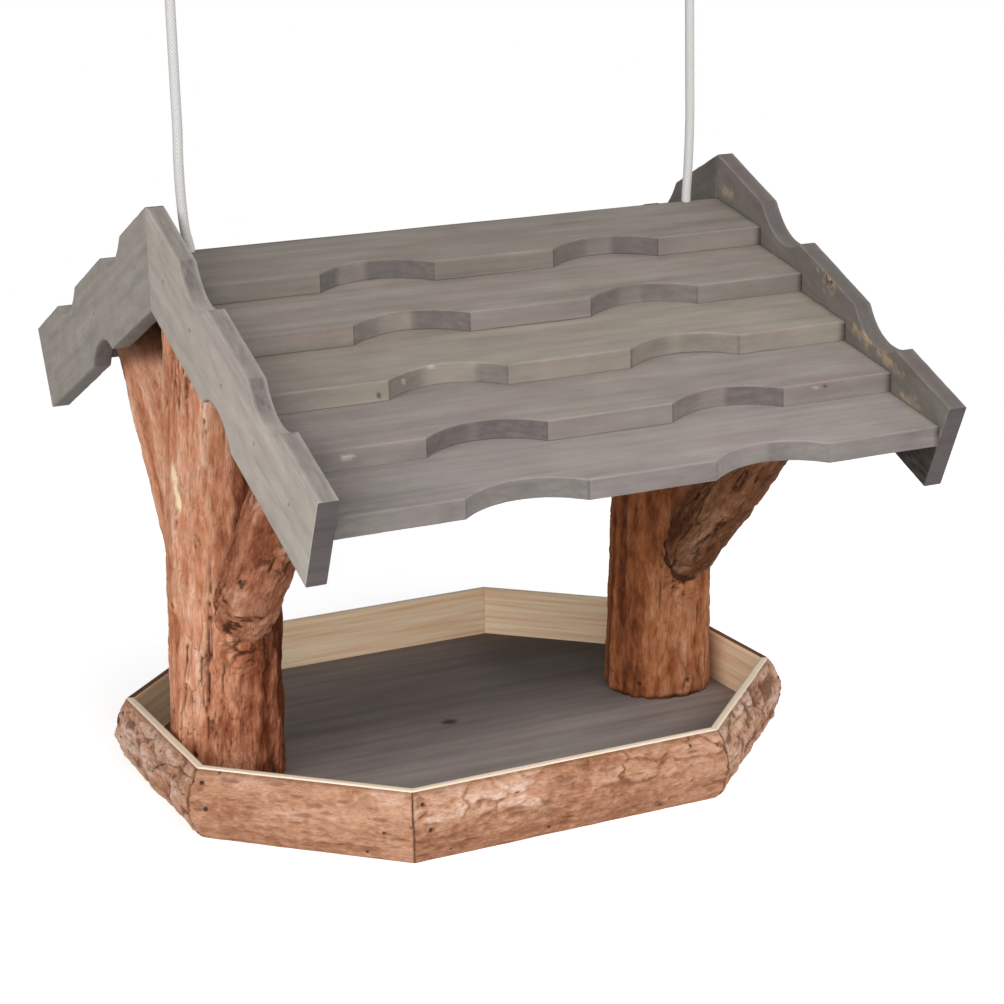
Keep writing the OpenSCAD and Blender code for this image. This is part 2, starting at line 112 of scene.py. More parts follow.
def floor_marks(tree, paint, place, point):
    """The floor's knot over the stain, with painted light at the front, painted shade under the roof and a
    painted shadow behind the right post.
    """
    off = add(tree, "ShaderNodeVectorMath", {0: point, 1: [v * MM for v in KNOT_AT]}, operation="SUBTRACT")
    flat = add(tree, "ShaderNodeVectorMath", {0: off, 1: [1 / MM / v for v in KNOT_SIZE] + [0]},
               operation="MULTIPLY")
    away = add(tree, "ShaderNodeVectorMath", {0: flat}, "Value", operation="LENGTH")
    wavy = add(tree, "ShaderNodeMath", {0: streaks(tree, place, 2, 4, 3.0), 1: 0.9, 2: away},
               operation="MULTIPLY_ADD")
    dark_eye = add(tree, "ShaderNodeMapRange", {
        "Value": wavy, "From Min": 0.75, "From Max": 1.5, "To Min": 0.9, "To Max": 0.0})
    paint = add(tree, "ShaderNodeMix", {0: dark_eye, 6: paint, 7: colour("#1f1918")}, 2, data_type="RGBA")
    # Painted light at the open front and painted shade under the roof
    back = add(tree, "ShaderNodeSeparateXYZ", {0: point}, "Y")
    roof_shade = add(tree, "ShaderNodeMapRange", {
        "Value": back, "From Min": ROOF_SHADE_SPAN[0] * MM, "From Max": ROOF_SHADE_SPAN[1] * MM,
        "To Min": ROOF_SHADE_LEVELS[0], "To Max": ROOF_SHADE_LEVELS[1]}, interpolation_type="SMOOTHSTEP")
    # Painted shadow behind the right post
    from_post_shadow = add(tree, "ShaderNodeVectorMath", {0: point, 1: [v * MM for v in POST_SHADOW_AT]}, "Value",
                   operation="DISTANCE")
    post_shadow = add(tree, "ShaderNodeMapRange", {
        "Value": from_post_shadow, "From Min": POST_SHADOW_REACH[0] * MM, "From Max": POST_SHADOW_REACH[1] * MM,
        "To Min": POST_SHADOW_LEVEL}, interpolation_type="SMOOTHSTEP")
    # Both painted shades together, laid over the stain
    thin = add(tree, "ShaderNodeMath", {0: roof_shade, 1: post_shadow}, operation="MULTIPLY")
    return add(tree, "ShaderNodeMix", {0: 1.0, 6: paint, 7: thin}, 2, data_type="RGBA", blend_type="MULTIPLY")


def stained_softwood(name, dark, light, marked=True, streaky=0.4, clouds=(20, 55), floor=False):
    """Softwood under a thin grey water stain: soft streaks, cloudy coats, dark cuts, rubbed arrises and
    painted shade.
    """
    material, tree, shader = new_material(name, 0.72, 0.18)
    if marked:
        place = add(tree, "ShaderNodeAttribute", out="Vector", attribute_name="grain")
    else:
        point = add(tree, "ShaderNodeTexCoord", out="Object")
        place = add(tree, "ShaderNodeMapping", {
            "Vector": point, "Scale": (1 / MM,) * 3, "Rotation": (0, 0, math.pi / 2)})
    fine = streaks(tree, place, 1.8, 70, 4.0)
    broad = streaks(tree, place, 8, 200, 3.0)
    cloud = streaks(tree, place, *clouds, 4.0, (5, 9, 2))
    body = add(tree, "ShaderNodeMath", {0: fine, 1: streaky, 2: broad}, operation="MULTIPLY_ADD")
    coats = add(tree, "ShaderNodeMath", {0: body, 1: cloud}, operation="ADD")
    level = add(tree, "ShaderNodeMapRange", {
        "Value": coats, "From Min": 0.65 + streaky / 2, "From Max": 1.35 + streaky / 2})
    stain = add(tree, "ShaderNodeValToRGB", {"Fac": level}, stops=[(0, dark), (1, light)])
    hue = add(tree, "ShaderNodeValToRGB", {"Fac": streaks(tree, place, 13, 110, 2.0, (31, 7, 3))},
              stops=[(0.34, "#f9fbf4"), (0.5, "#fdfbfa"), (0.66, "#fff7f8")])
    paint = add(tree, "ShaderNodeMix", {0: 1.0, 6: stain, 7: hue}, 2, data_type="RGBA", blend_type="MULTIPLY")
    if marked:
        rub = streaks(tree, place, 3, 12, 4.0, (3, 3, 3))
        for mark, (tint, soft, most) in WOOD_MARKS.items():
            here = add(tree, "ShaderNodeAttribute", out="Fac", attribute_name=mark)
            ragged = add(tree, "ShaderNodeMapRange", {
                "Value": rub, "From Min": 0.35, "From Max": 0.65, "To Min": 1 - soft,
                "To Max": 1 + 0.4 * soft})
            amount = add(tree, "ShaderNodeMath", {0: here, 1: ragged}, operation="MULTIPLY")
            share = add(tree, "ShaderNodeMath", {0: amount, 1: most}, operation="MULTIPLY", use_clamp=True)
            paint = add(tree, "ShaderNodeMix", {0: share, 6: paint, 7: colour(tint)}, 2, data_type="RGBA")
    elif floor:
        paint = floor_marks(tree, paint, place, point)
    join_surface(tree, shader, paint, fine, 0.2, 0.25)
    return material


def dress(node, material):
    """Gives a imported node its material."""
    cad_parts[node].data.materials.clear()
    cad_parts[node].data.materials.append(material)


dress("floor_plate", stained_softwood("dark_grey_stained_softwood", "#756c6a", "#968e8a", marked=False,
                                      streaky=0.2, clouds=(30, 90), floor=True))

# Rim slabs: the outer cuts of small pine logs, flat and pale inside, with the bark left on outside. Each is
# mitred at both ends and bradded to the floor's edge. Some have shed their bark in flakes, on others it is
# nearly smooth; along the top the saw has left a strip of bare wood.
RIM_SIDES = ["right", "back_right", "back", "back_left", "left", "front_left", "front", "front_right"]
TURN = math.radians(45)
# Mesh step along a slab and points round its bark; thickness at its edges; how far the bare strip comes down
SLAB_STEP, BARK_POINTS, SLAB_EDGE, STRIP_DROP = 0.9, 54, 4.0, 1.4
# Shift of the bark and of the grain from one slab to the next
BARK_SHIFT, GRAIN_SHIFT = 300, 500
# Brad heads near a mitre: place along the slab and height
MITRE_BRADS = [(6.0, 22.0), (2.8, 37.0)]
# Bark of the slabs in view: roughness, width and length of its scales, and change of tone
SLAB_BARK = {"left": (1.3, (16, 36), 0.22), "front_left": (0.2, (13, 34), 0.0),
             "front": (0.35, (13, 34), -0.06), "front_right": (1.05, (9, 26), 0.25)}
PLAIN_BARK = (0.6, (13, 34), 0.0)
# Pale flakes on the upper part of the front slab: their width and length, the height at which they begin and
# the share of the scales that stays dark
FLAKE_SIZE, FLAKES_FROM, DARK_SHARE = (13, 27), (23, 28), 0.42
# Slabs whose bark has stayed on up to the inner edge
BARK_OVER = ("right", "back_left")


def lattice(ix, iy, iz, seed):
    """Repeatable random number from 0 to 1 for each point of a whole-number lattice."""
    h = (ix * 374761393 + iy * 668265263 + iz * 1442695041 + seed * 974634777) & 0xFFFFFFFF
    h = ((h ^ (h >> 13)) * 1274126177) & 0xFFFFFFFF
    h = ((h ^ (h >> 16)) * 2246822519) & 0xFFFFFFFF
    return (h ^ (h >> 15)) / 4294967296.0


def drift(x, y, z, seed):
    """Smooth noise from -1 to 1."""
    x, y, z = np.broadcast_arrays(np.asarray(x, float), np.asarray(y, float), np.asarray(z, float))
    cell = [np.floor(v).astype(np.int64) for v in (x, y, z)]
    part = [v - c for v, c in zip((x, y, z), cell)]
    slow = [p * p * p * (p * (p * 6 - 15) + 10) for p in part]
    total = 0
    for dx in (0, 1):
        for dy in (0, 1):
            for dz in (0, 1):
                weight = ((slow[0] if dx else 1 - slow[0]) * (slow[1] if dy else 1 - slow[1])
                          * (slow[2] if dz else 1 - slow[2]))
                total = total + weight * lattice(cell[0] + dx, cell[1] + dy, cell[2] + dz, seed)
    return total * 2 - 1


def rough(x, y, z, seed, octaves=3):
    """Several sizes of drift on top of each other, each half as strong as the one before."""
    parts = [0.5 ** k * drift(x * 2 ** k, y * 2 ** k, z * 2 ** k, seed + 17 * k) for k in range(octaves)]
    return sum(parts) / (2 - 0.5 ** (octaves - 1))


def ease(low, high, value):
    """Smooth step from 0 at low to 1 at high."""
    t = np.clip((value - low) / (high - low), 0, 1)
    return t * t * (3 - 2 * t)


def specks(a, b, cell, chance, size, seed):
    """Small round pits, one to a cell at most, as a share from 0 to 1."""
    iu, iv = np.floor(a / cell).astype(np.int64), np.floor(b / cell).astype(np.int64)
    found = 0 * a
    for cu, cv in [(iu + du, iv + dv) for du in (-1, 0, 1) for dv in (-1, 0, 1)]:
        off_a = (cu + lattice(cu, cv, 1, seed)) * cell - a
        off_b = (cv + lattice(cu, cv, 2, seed)) * cell - b
        r = size * (0.5 + lattice(cu, cv, 3, seed))
        here = lattice(cu, cv, 4, seed) < chance
        found = np.maximum(found, here * (1 - ease(0.5 * r, 1.1 * r, np.hypot(off_a, off_b))))
    return found


def scales(a, b, width, length, girth, seed):
    """Bark scales about width by length: distance to the nearest edge in mm, each one's level and slope."""
    wrap = max(1, round(girth / width)) if girth else 10 ** 9
    wide = girth / wrap if girth else width
    u, v = a / wide, b / length
    iu, iv = np.floor(u).astype(np.int64), np.floor(v).astype(np.int64)
    best = [np.full(u.shape, 9.0), np.full(u.shape, 9.0)]
    off = [[np.zeros(u.shape)] * 2, [np.zeros(u.shape)] * 2]
    level, tip = np.zeros(u.shape), np.zeros(u.shape)
    for cu, cv in [(iu + du, iv + dv) for du in (-1, 0, 1) for dv in (-1, 0, 1)]:
        key = cu % wrap
        x = cu + 0.1 + 0.8 * lattice(key, cv, 1, seed) - u
        y = cv + 0.1 + 0.8 * lattice(key, cv, 2, seed) - v
        d = x * x + y * y
        nearest, second = d < best[0], (d >= best[0]) & (d < best[1])
        for i in (0, 1):
            off[1][i] = np.where(nearest, off[0][i], np.where(second, (x, y)[i], off[1][i]))
            off[0][i] = np.where(nearest, (x, y)[i], off[0][i])
        best[1] = np.where(nearest, best[0], np.where(second, d, best[1]))
        best[0] = np.where(nearest, d, best[0])
        level = np.where(nearest, lattice(key, cv, 3, seed), level)
        tip = np.where(nearest, lattice(key, cv, 4, seed) - 0.5, tip)
    across = np.hypot((off[0][0] - off[1][0]) / wide, (off[0][1] - off[1][1]) / length)
    return (best[1] - best[0]) / (2 * across + 1e-9), level, -tip * off[0][1]


def pine_bark(around, along, girth, seed, plate=(8, 26), shaggy=1.0, split=1.0, drawn=1.0):
    """Relief in mm, tone and cracks of pine bark on a log; girth is nought where the bark doesn't close."""
    cx, cy = around, 0 * around
    if girth:
        reach = girth / (2 * math.pi)
        cx, cy = reach * np.cos(around / reach), reach * np.sin(around / reach)

    def noise(wide, tall, number, octaves):
        """Rough noise on the log, with its sizes round and along in millimetres."""
        return rough(cx / wide, cy / wide, along / tall, seed + number, octaves)

    bend = 3 * noise(22, 42, 1, 2) + noise(4, 8, 2, 2)
    slide = 9 * noise(12, 40, 3, 3)
    edge, level, slope = scales(around + bend, along + slide, *plate, girth, seed + 4)
    edge_2, level_2 = scales(around + 1.3 * bend, along + 1.4 * slide, plate[0] / 2.4, plate[1] / 2.6,
                             girth, seed + 5)[:2]
    flaky = ease(-0.28, 0.2, noise(20, 45, 6, 3))
    small = ease(-0.2, 0.25, noise(14, 30, 7, 3))
    open_here = ease(-0.25, 0.25, noise(16, 60, 8, 2))
    wander = 0.35 * noise(3, 7, 9, 2)
    deep = split * open_here * (1 - ease(0.01, 0.08, np.abs(noise(8, 75, 10, 3) + 0.25 * wander)))
    thin = split * small * (1 - ease(0.01, 0.08, np.abs(noise(3.6, 26, 11, 2) + 0.3 * wander)))
    groove = (1 - ease(0.15, 1.0, edge)) * flaky * shaggy
    groove_2 = (1 - ease(0.1, 0.6, edge_2)) * small * shaggy
    strip = drawn * noise(7, 80, 16, 2)
    fibre = noise(1.7, 9 * drawn, 12, 2)
    mottle = noise(4.2, 10 * drawn, 13, 3)
    lump = noise(11, 19, 14, 2)
    cloud = noise(30, 65, 15, 3)
    relief = (shaggy * (1.1 * (level - 0.5) * flaky + 1.8 * slope * flaky + 0.6 * (level_2 - 0.5) * small)
              + (0.5 + 0.7 * shaggy) * lump + 0.3 * fibre + 0.95 * mottle + 1.3 * strip
              - 1.1 * deep - 0.5 * thin - 0.7 * groove - 0.35 * groove_2)
    tone = (0.5 + shaggy * (0.24 * (level - 0.5) * flaky + 0.16 * (level_2 - 0.5) * small) + 0.10 * fibre
            + 0.22 * mottle + 0.24 * cloud + 0.10 * lump + 0.30 * strip)
    crack_and_shade = 0.7 * deep + 0.35 * thin + 0.55 * groove + 0.3 * groove_2
    return relief, np.clip(tone, 0, 1), np.clip(crack_and_shade, 0, 1)


def piece(name, points, faces, materials, body, stands_for=(), attributes=(), which=None):
    """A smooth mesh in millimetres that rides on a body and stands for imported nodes."""
    mesh = bpy.data.meshes.new(name)
    mesh.from_pydata((np.asarray(points, float) * MM).tolist(), [], faces)
    for m in materials:
        mesh.materials.append(m)
    if which is not None:
        mesh.polygons.foreach_set("material_index", np.asarray(which, np.int32))
    for key, values in dict(attributes).items():
        values = np.asarray(values, np.float32).reshape(len(points), -1)
        vector = values.shape[1] == 3
        data = mesh.attributes.new(key, "FLOAT_VECTOR" if vector else "FLOAT", "POINT")
        data.data.foreach_set("vector" if vector else "value", values.ravel())
    build = bmesh.new()
    build.from_mesh(mesh)
    bmesh.ops.recalc_face_normals(build, faces=build.faces)
    build.to_mesh(mesh)
    build.free()
    mesh.polygons.foreach_set("use_smooth", [len(p.vertices) == 4 for p in mesh.polygons])
    thing = bpy.data.objects.new(name, mesh)
    bpy.context.scene.collection.objects.link(thing)
    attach(thing, body)
    if stands_for:
        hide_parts(*stands_for)
    return thing


def loft(rows):
    """Points and faces of closed rings joined in a row and capped at both ends."""
    rings, sides = rows.shape[:2]
    i, j = np.meshgrid(np.arange(rings - 1), np.arange(sides), indexing="ij")
    n = (j + 1) % sides
    quads = np.stack([i * sides + j, i * sides + n, (i + 1) * sides + n, (i + 1) * sides + j], -1)
    caps = [list(range(sides))[::-1], list(range((rings - 1) * sides, rings * sides))]
    return rows.reshape(-1, 3), quads.reshape(-1, 4).tolist() + caps


def flaking_bark(name, tones, split_and_shade_tint, drawn=1.0):
    """Pine bark: papery layers in five tones from dark to pale, with dark splits and painted shade, and a dry
    dull face.
    """
    material, tree, shader = new_material(name, 0.9, 0.1)
    place = add(tree, "ShaderNodeAttribute", out="Vector", attribute_name="grain")
    # The tone holds painted light and shade on some sides and bumps, besides the bark's own tone
    tone = add(tree, "ShaderNodeAttribute", out="Fac", attribute_name="tone")
    crack_and_shade = add(tree, "ShaderNodeAttribute", out="Fac", attribute_name="crack_and_shade")
    fibre = streaks(tree, place, 1.1, 6 * drawn, 4.0)
    mottle = streaks(tree, place, 2.6, 7 * drawn, 3.0, (4, 8, 1))
    vary = add(tree, "ShaderNodeMath", {0: fibre, 1: mottle}, operation="ADD")
    shift = add(tree, "ShaderNodeMapRange", {
        "Value": vary, "From Min": 0.65, "From Max": 1.35, "To Min": -0.15, "To Max": 0.15})
    level = add(tree, "ShaderNodeMath", {0: tone, 1: shift}, operation="ADD")
    skin = add(tree, "ShaderNodeValToRGB", {"Fac": level}, stops=list(zip((0, 0.25, 0.5, 0.75, 1), tones)))
    line = add(tree, "ShaderNodeMath", {0: streaks(tree, place, 2.8, 24 * drawn, 3.0, (9, 2, 6)), 1: 0.5},
               operation="SUBTRACT")
    away = add(tree, "ShaderNodeMath", {0: line}, operation="ABSOLUTE")
    hair = add(tree, "ShaderNodeMapRange", {"Value": away, "From Max": 0.03, "To Min": 0.28, "To Max": 0})
    # Dark splits, and the painted shade laid on with them
    dark = add(tree, "ShaderNodeMapRange", {"Value": crack_and_shade, "From Min": 0.1, "From Max": 0.9, "To Max": 0.9})
    most = add(tree, "ShaderNodeMath", {0: hair, 1: dark}, operation="MAXIMUM")
    paint = add(tree, "ShaderNodeMix", {0: most, 6: skin, 7: colour(split_and_shade_tint)}, 2, data_type="RGBA")
    for mark, tint in (("peeled", "#eed8b2"), ("pit", "#331d13")):
        here = add(tree, "ShaderNodeAttribute", out="Fac", attribute_name=mark)
        paint = add(tree, "ShaderNodeMix", {0: here, 6: paint, 7: colour(tint)}, 2, data_type="RGBA")
    high = add(tree, "ShaderNodeMath", {0: vary, 1: hair}, operation="SUBTRACT")
    join_surface(tree, shader, paint, high, 0.7, 0.8)
    return material


def pale_sapwood(name, dark, light):
    """Fresh sawn pine: cream with soft honey-coloured growth lines."""
    material, tree, shader = new_material(name, 0.62, 0.2)
    place = add(tree, "ShaderNodeAttribute", out="Vector", attribute_name="grain")
    lines = streaks(tree, place, 3.2, 120, 4.0)
    paint = add(tree, "ShaderNodeValToRGB", {"Fac": lines}, stops=[(0.3, dark), (0.62, light)])
    join_surface(tree, shader, paint, lines, 0.15, 0.2)
    return material


slab_bark = flaking_bark(
    "pine_slab_bark", ["#7f523b", "#9d6d52", "#b5876b", "#c69b81", "#d8b9a6"], "#553424", 0.5)
slab_wood = pale_sapwood("sawn_pine_sapwood", "#eec092", "#ffe9ca")
# A paler copy of the sapwood for the upward strip along the top: painted light
lit_strip_wood = pale_sapwood("pine_edge_painted_lit", "#edd4b6", "#f9ead5")


def box_mm(node):
    """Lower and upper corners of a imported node's box, in millimetres."""
    return [np.array(v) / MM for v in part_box(node)]


half_x, half_y = box_mm("floor_plate")[1][:2]
rim_height = box_mm("rim_slab_back")[1][2]
rim_depth = box_mm("rim_slab_back")[1][1] - half_y


def rim_corner(k):
    """Inner corner of the rim after side k, counted from the right-hand side against the clock."""
    a = TURN * (k + 0.5)
    r = half_y / math.cos(TURN / 2)
    return np.array([r * math.cos(a) + math.copysign(half_x - half_y, math.cos(a)), r * math.sin(a)])


swell = rim_depth - SLAB_EDGE
bark_r = ((rim_height / 2) ** 2 + swell ** 2) / (2 * swell)
arc = math.asin(rim_height / 2 / bark_r)
round_part = np.linspace(-1, 1, BARK_POINTS)
inner_z = np.linspace(rim_height, 0, 12)[1:-1]
edge_u = np.linspace(SLAB_EDGE, 0, 5)
ring_u = np.concatenate([rim_depth - bark_r + bark_r * np.cos(arc * round_part), edge_u[1:], 0 * inner_z,
                         edge_u[:0:-1]])
ring_z = np.concatenate([rim_height / 2 * (1 + np.sin(arc * round_part) / math.sin(arc)),
                         np.full(4, rim_height), inner_z, np.zeros(4)])
ring_a = np.concatenate([bark_r * arc * round_part, np.zeros(len(ring_u) - BARK_POINTS)])
for k, side in enumerate(RIM_SIDES):
    start, end = rim_corner(k - 1), rim_corner(k)
    length = np.linalg.norm(end - start)
    run = (end - start) / length
    out = np.array([run[1], -run[0]])
    t, u = np.meshgrid(np.linspace(0, 1, int(length / SLAB_STEP)), ring_u, indexing="ij")
    z, around = np.broadcast_to(ring_z, t.shape), np.broadcast_to(ring_a, t.shape)
    on_bark = np.broadcast_to(np.arange(len(ring_u)) < BARK_POINTS, t.shape)
    along, shifted = t * length, around + BARK_SHIFT * k
    seed = 11 + 30 * k
    coarse, plate, lighter = SLAB_BARK.get(side, PLAIN_BARK)
    rugged = 0.9 if coarse > 1 else 0.4
    shaggy = coarse * (1 + 0.5 * rough(along / 40, z / 24, 0, seed + 21, 2))
    pale, rim = 0 * z, 0 * z
    if side == "front":
        wander = 4.9 * rough(along / 30, z / 14, 0, seed + 20, 3)
        shape = 2.5 * rough(along / 9, z / 6, 0, seed + 23, 3)
        edge, chosen = scales(around + shape, along + 2 * shape, *FLAKE_SIZE, 0, seed + 24)[:2]
        shed = ease(*FLAKES_FROM, z + wander)
        pale = (chosen > DARK_SHARE) * ease(0.5, 1.8, edge) * shed
        rim = np.maximum((1 - ease(0.3, 1.6, edge)) * shed, 4 * shed * (1 - shed) * (chosen > DARK_SHARE))
        rim = rim * ease(-0.25, 0.35, rough(along / 11, z / 7, 0, seed + 27, 2))
    relief, tone, crack_and_shade = pine_bark(shifted, along, 0, seed, plate, shaggy, 0.3 + 0.35 * coarse, 0.5)
    # On lumpy bark the bumps get painted light and the hollows painted shade
    hollow = (coarse > 1) * rough(along / 11, around / 6.5, 0, seed + 26, 3)
    relief = relief + 0.9 * pale - 0.3 * rim + 1.5 * hollow
    tone = np.clip(tone + lighter + 0.26 * pale + 0.25 * hollow + 0.1 * ease(10, 40, z) - 0.05, 0, 1)
    fleck = specks(shifted, along / 4, 5, 0.45, 1.2, seed + 25)
    pit = specks(shifted, along, 9, 0.10, 0.8, seed + 22) * on_bark
    from_end = np.minimum(along, length - along)
    inner_bark = 1 - ease(0.2, 1.5, rim_height - STRIP_DROP - z)
    # Dark flake rims, flecks, mitre ends and bark along the top edge, with painted shade in the hollows
    dark_marks_and_shade = [0.6 * rim, 0.55 * fleck, 0.7 * ease(0.16, 0.45, -hollow),
               0.85 * (1 - ease(0.2, 1.4, from_end)), (0.8 if side in BARK_OVER else 0.45) * inner_bark]
    crack_and_shade = np.maximum.reduce([crack_and_shade * (1 - 0.6 * pale)] + dark_marks_and_shade)
    held = (rugged + (1 - rugged) * ease(0, 5, z)) * ease(0, 3.5, rim_height - z)
    lift = (relief - 0.7 * pit - 0.6 * (1 - ease(0, 1.5, from_end))) * held
    true_along = along + (2 * t - 1) * u * math.tan(TURN / 2)
    for head_along, head_z in MITRE_BRADS:
        off = np.hypot(true_along - head_along, z - head_z)
        near = 1 - ease(1.0, 2.2, off)
        lift = lift * (1 - near) - 1.5 * near
        pit = np.maximum(pit, 0.7 * (1 - ease(0.7, 1.4, off)) * on_bark)
    depth = u + on_bark * lift
    mitred = along + (2 * t - 1) * depth * math.tan(TURN / 2)
    place = start + run * mitred[..., None] + out * depth[..., None]
    points, faces = loft(np.concatenate([place, z[..., None]], -1))
    column = np.tile(np.arange(len(ring_u)), t.shape[0] - 1)
    barky = (column < BARK_POINTS - 1) & (ring_z[column] < rim_height - STRIP_DROP)
    top_strip = ~barky & (column < BARK_POINTS + 3)
    which = np.where(barky, 0, np.where(top_strip, 0 if side in BARK_OVER else 2, 1)).tolist() + [0, 0]
    grain = np.stack([np.where(on_bark, around, z), along + GRAIN_SHIFT * k, u], -1)
    piece("bark_slab_" + side, points, faces, [slab_bark, slab_wood, lit_strip_wood], "house",
          ["rim_slab_" + side], {"grain": grain, "tone": tone, "crack_and_shade": crack_and_shade, "pit": pit}, which)


# Rim brads: short wire brads, driven through the slabs into the floor's edge and across the mitres. Their
# heads show as small dark dots at the ends of the slabs.
def spotted_steel(name, roughness, specular, metallic, spot, *stops):
    """Steel with fine dull spots of tarnish, rust or plating, of a size in millimetres."""
    material, tree, shader = new_material(name, roughness, specular, metallic)
    point = add(tree, "ShaderNodeTexCoord", out="Object")
    spots = add(tree, "ShaderNodeTexNoise", {"Vector": point, "Scale": 1 / (spot * MM), "Detail": 3.0})
    paint = add(tree, "ShaderNodeValToRGB", {"Fac": spots}, stops=stops)
    tree.links.new(paint, shader.inputs["Base Color"])
    return material


dress("rim_brads", spotted_steel(
    "dull_wire_steel", 0.55, 0.4, 0.7, 0.5, (0.35, "#2e2825"), (0.7, "#544c47")))

# Posts: two pine branches with the bark on, sawn square at the foot and to the slope of the ridge boards at
# the top. The left one is pared flat behind its gable and has lost a strip of bark; both taper and stand a
# little askew.
POST_STEP = 1.0
BOARD_TILT = math.radians(12)
GABLE_PITCH = math.radians(24.4)
GABLE_WIDTH = 56.0
# How far the painted shadow under the left gable reaches down
SHADOW_DROP = 20.0
# How far the top stays under the boards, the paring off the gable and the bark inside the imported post
TOP_BACK, PARED_GAP, BARK_SINK = 4.0, 0.2, 0.4
POST_PLATE = (8, 27)
# Of each post: its offset across and back and its change of radius, at the foot and at the top
POST_LEAN = {"left": [(-5, 0, 1.5), (6, 0, -2.3)], "right": [(3, 9, 0.7), (8.5, 0, -4.5)]}
# Roughness of the bark at the foot and at the top, and depth of its splits
POST_SHAGGY = {"left": (1.0, 0.45, 1.0), "right": (0.45, 0.4, 0.6)}
# Knots: angle, height and size
POST_KNOTS = {"left": [(-161.5, 180, 3.6), (-170, 126.5, 3.8), (-144.5, 34, 4.6)],
              "right": [(-139, 21, 3.4), (-87, 23, 3.6)]}
# Seams: angle and height at both ends, and depth
POST_SEAMS = {"left": [(-123, 160, -128, 62, 1.7), (-148, 272, -145, 222, 0.6), (-149, 110, -157, 58, 1.4),
                       (-138, 250, -141, 190, 0.4), (-128, 268, -124, 205, 0.45),
                       (-158, 300, -156, 245, 0.9)],
              "right": [(-118, 120, -120, 70, 0.8), (-70, 80, -74, 40, 1.0)]}
# Painted light and shade on the posts' sides, and a pale patch of bark on the right post: angle and height,
# their reach, and the change of tone
POST_LIGHT_AND_TONE = {"left": [(-45, 120, 45, 400, -0.52), (-150, 250, 60, 70, 0.28), (-140, 70, 70, 80, 0.12)],
              "right": [(-58, 40, 40, 60, 0.16), (-96, 72, 11, 26, 0.30), (-168, 110, 40, 400, -0.17)]}
# Bare wood: angle, height, half width, half length and slant
BARE_STRIPS = {"left": [(-164.7, 200.5, 2.8, 17, 0.227)], "right": []}
# Burl at the foot of a brace: angle, height and rise
BURLS = {"left": (-92, 104, 6.5), "right": (-92, 93, 2.0)}
post_bark = {
    "left": flaking_bark("red_pine_branch_bark", ["#6b3822", "#9c5d41", "#c28362", "#d59e80", "#e7bfa6"],
                         "#3d1f13"),
    "right": flaking_bark("brown_pine_branch_bark", ["#5f341f", "#864e30", "#a66742", "#bb815d", "#cd9f82"],
                          "#371d11")}
branch_wood = pale_sapwood("sawn_branch_end", "#b98f68", "#d9b78e")
ridge_low, ridge_high = box_mm("roof_board_front_1")
ridge_z = ridge_high[2]
board_t = ridge_high[2] - ridge_low[2] - (ridge_high[1] - ridge_low[1]) * math.tan(BOARD_TILT)
gable_low, gable_high = box_mm("gable_left_front")


def post_frame(side):
    """Centre line, radius and foot of a post."""
    low, high = box_mm("trunk_" + side)
    radius = (high[1] - low[1]) / 2
    return (high[0] - radius if side == "left" else low[0] + radius), radius, low[2]


def bark_angles(radius):
    """Angles round a branch, a mesh step apart."""
    return np.linspace(-math.pi, math.pi, int(2 * math.pi * radius / POST_STEP), endpoint=False)


def turned(a, degrees):
    """Angle a measured from another one, the short way round."""
    return (a - math.radians(degrees) + math.pi) % (2 * math.pi) - math.pi


def below_gable(y, z):
    """How far a point lies below the lower edges of the left gable boards."""
    return gable_high[2] - GABLE_WIDTH / math.cos(GABLE_PITCH) - np.abs(y) * math.tan(GABLE_PITCH) - z


def gable_shadow(y, z):
    """Painted shadow under the lower edges of the left gable boards."""
    return 0.8 * (1 - ease(1, SHADOW_DROP, below_gable(y, z)))


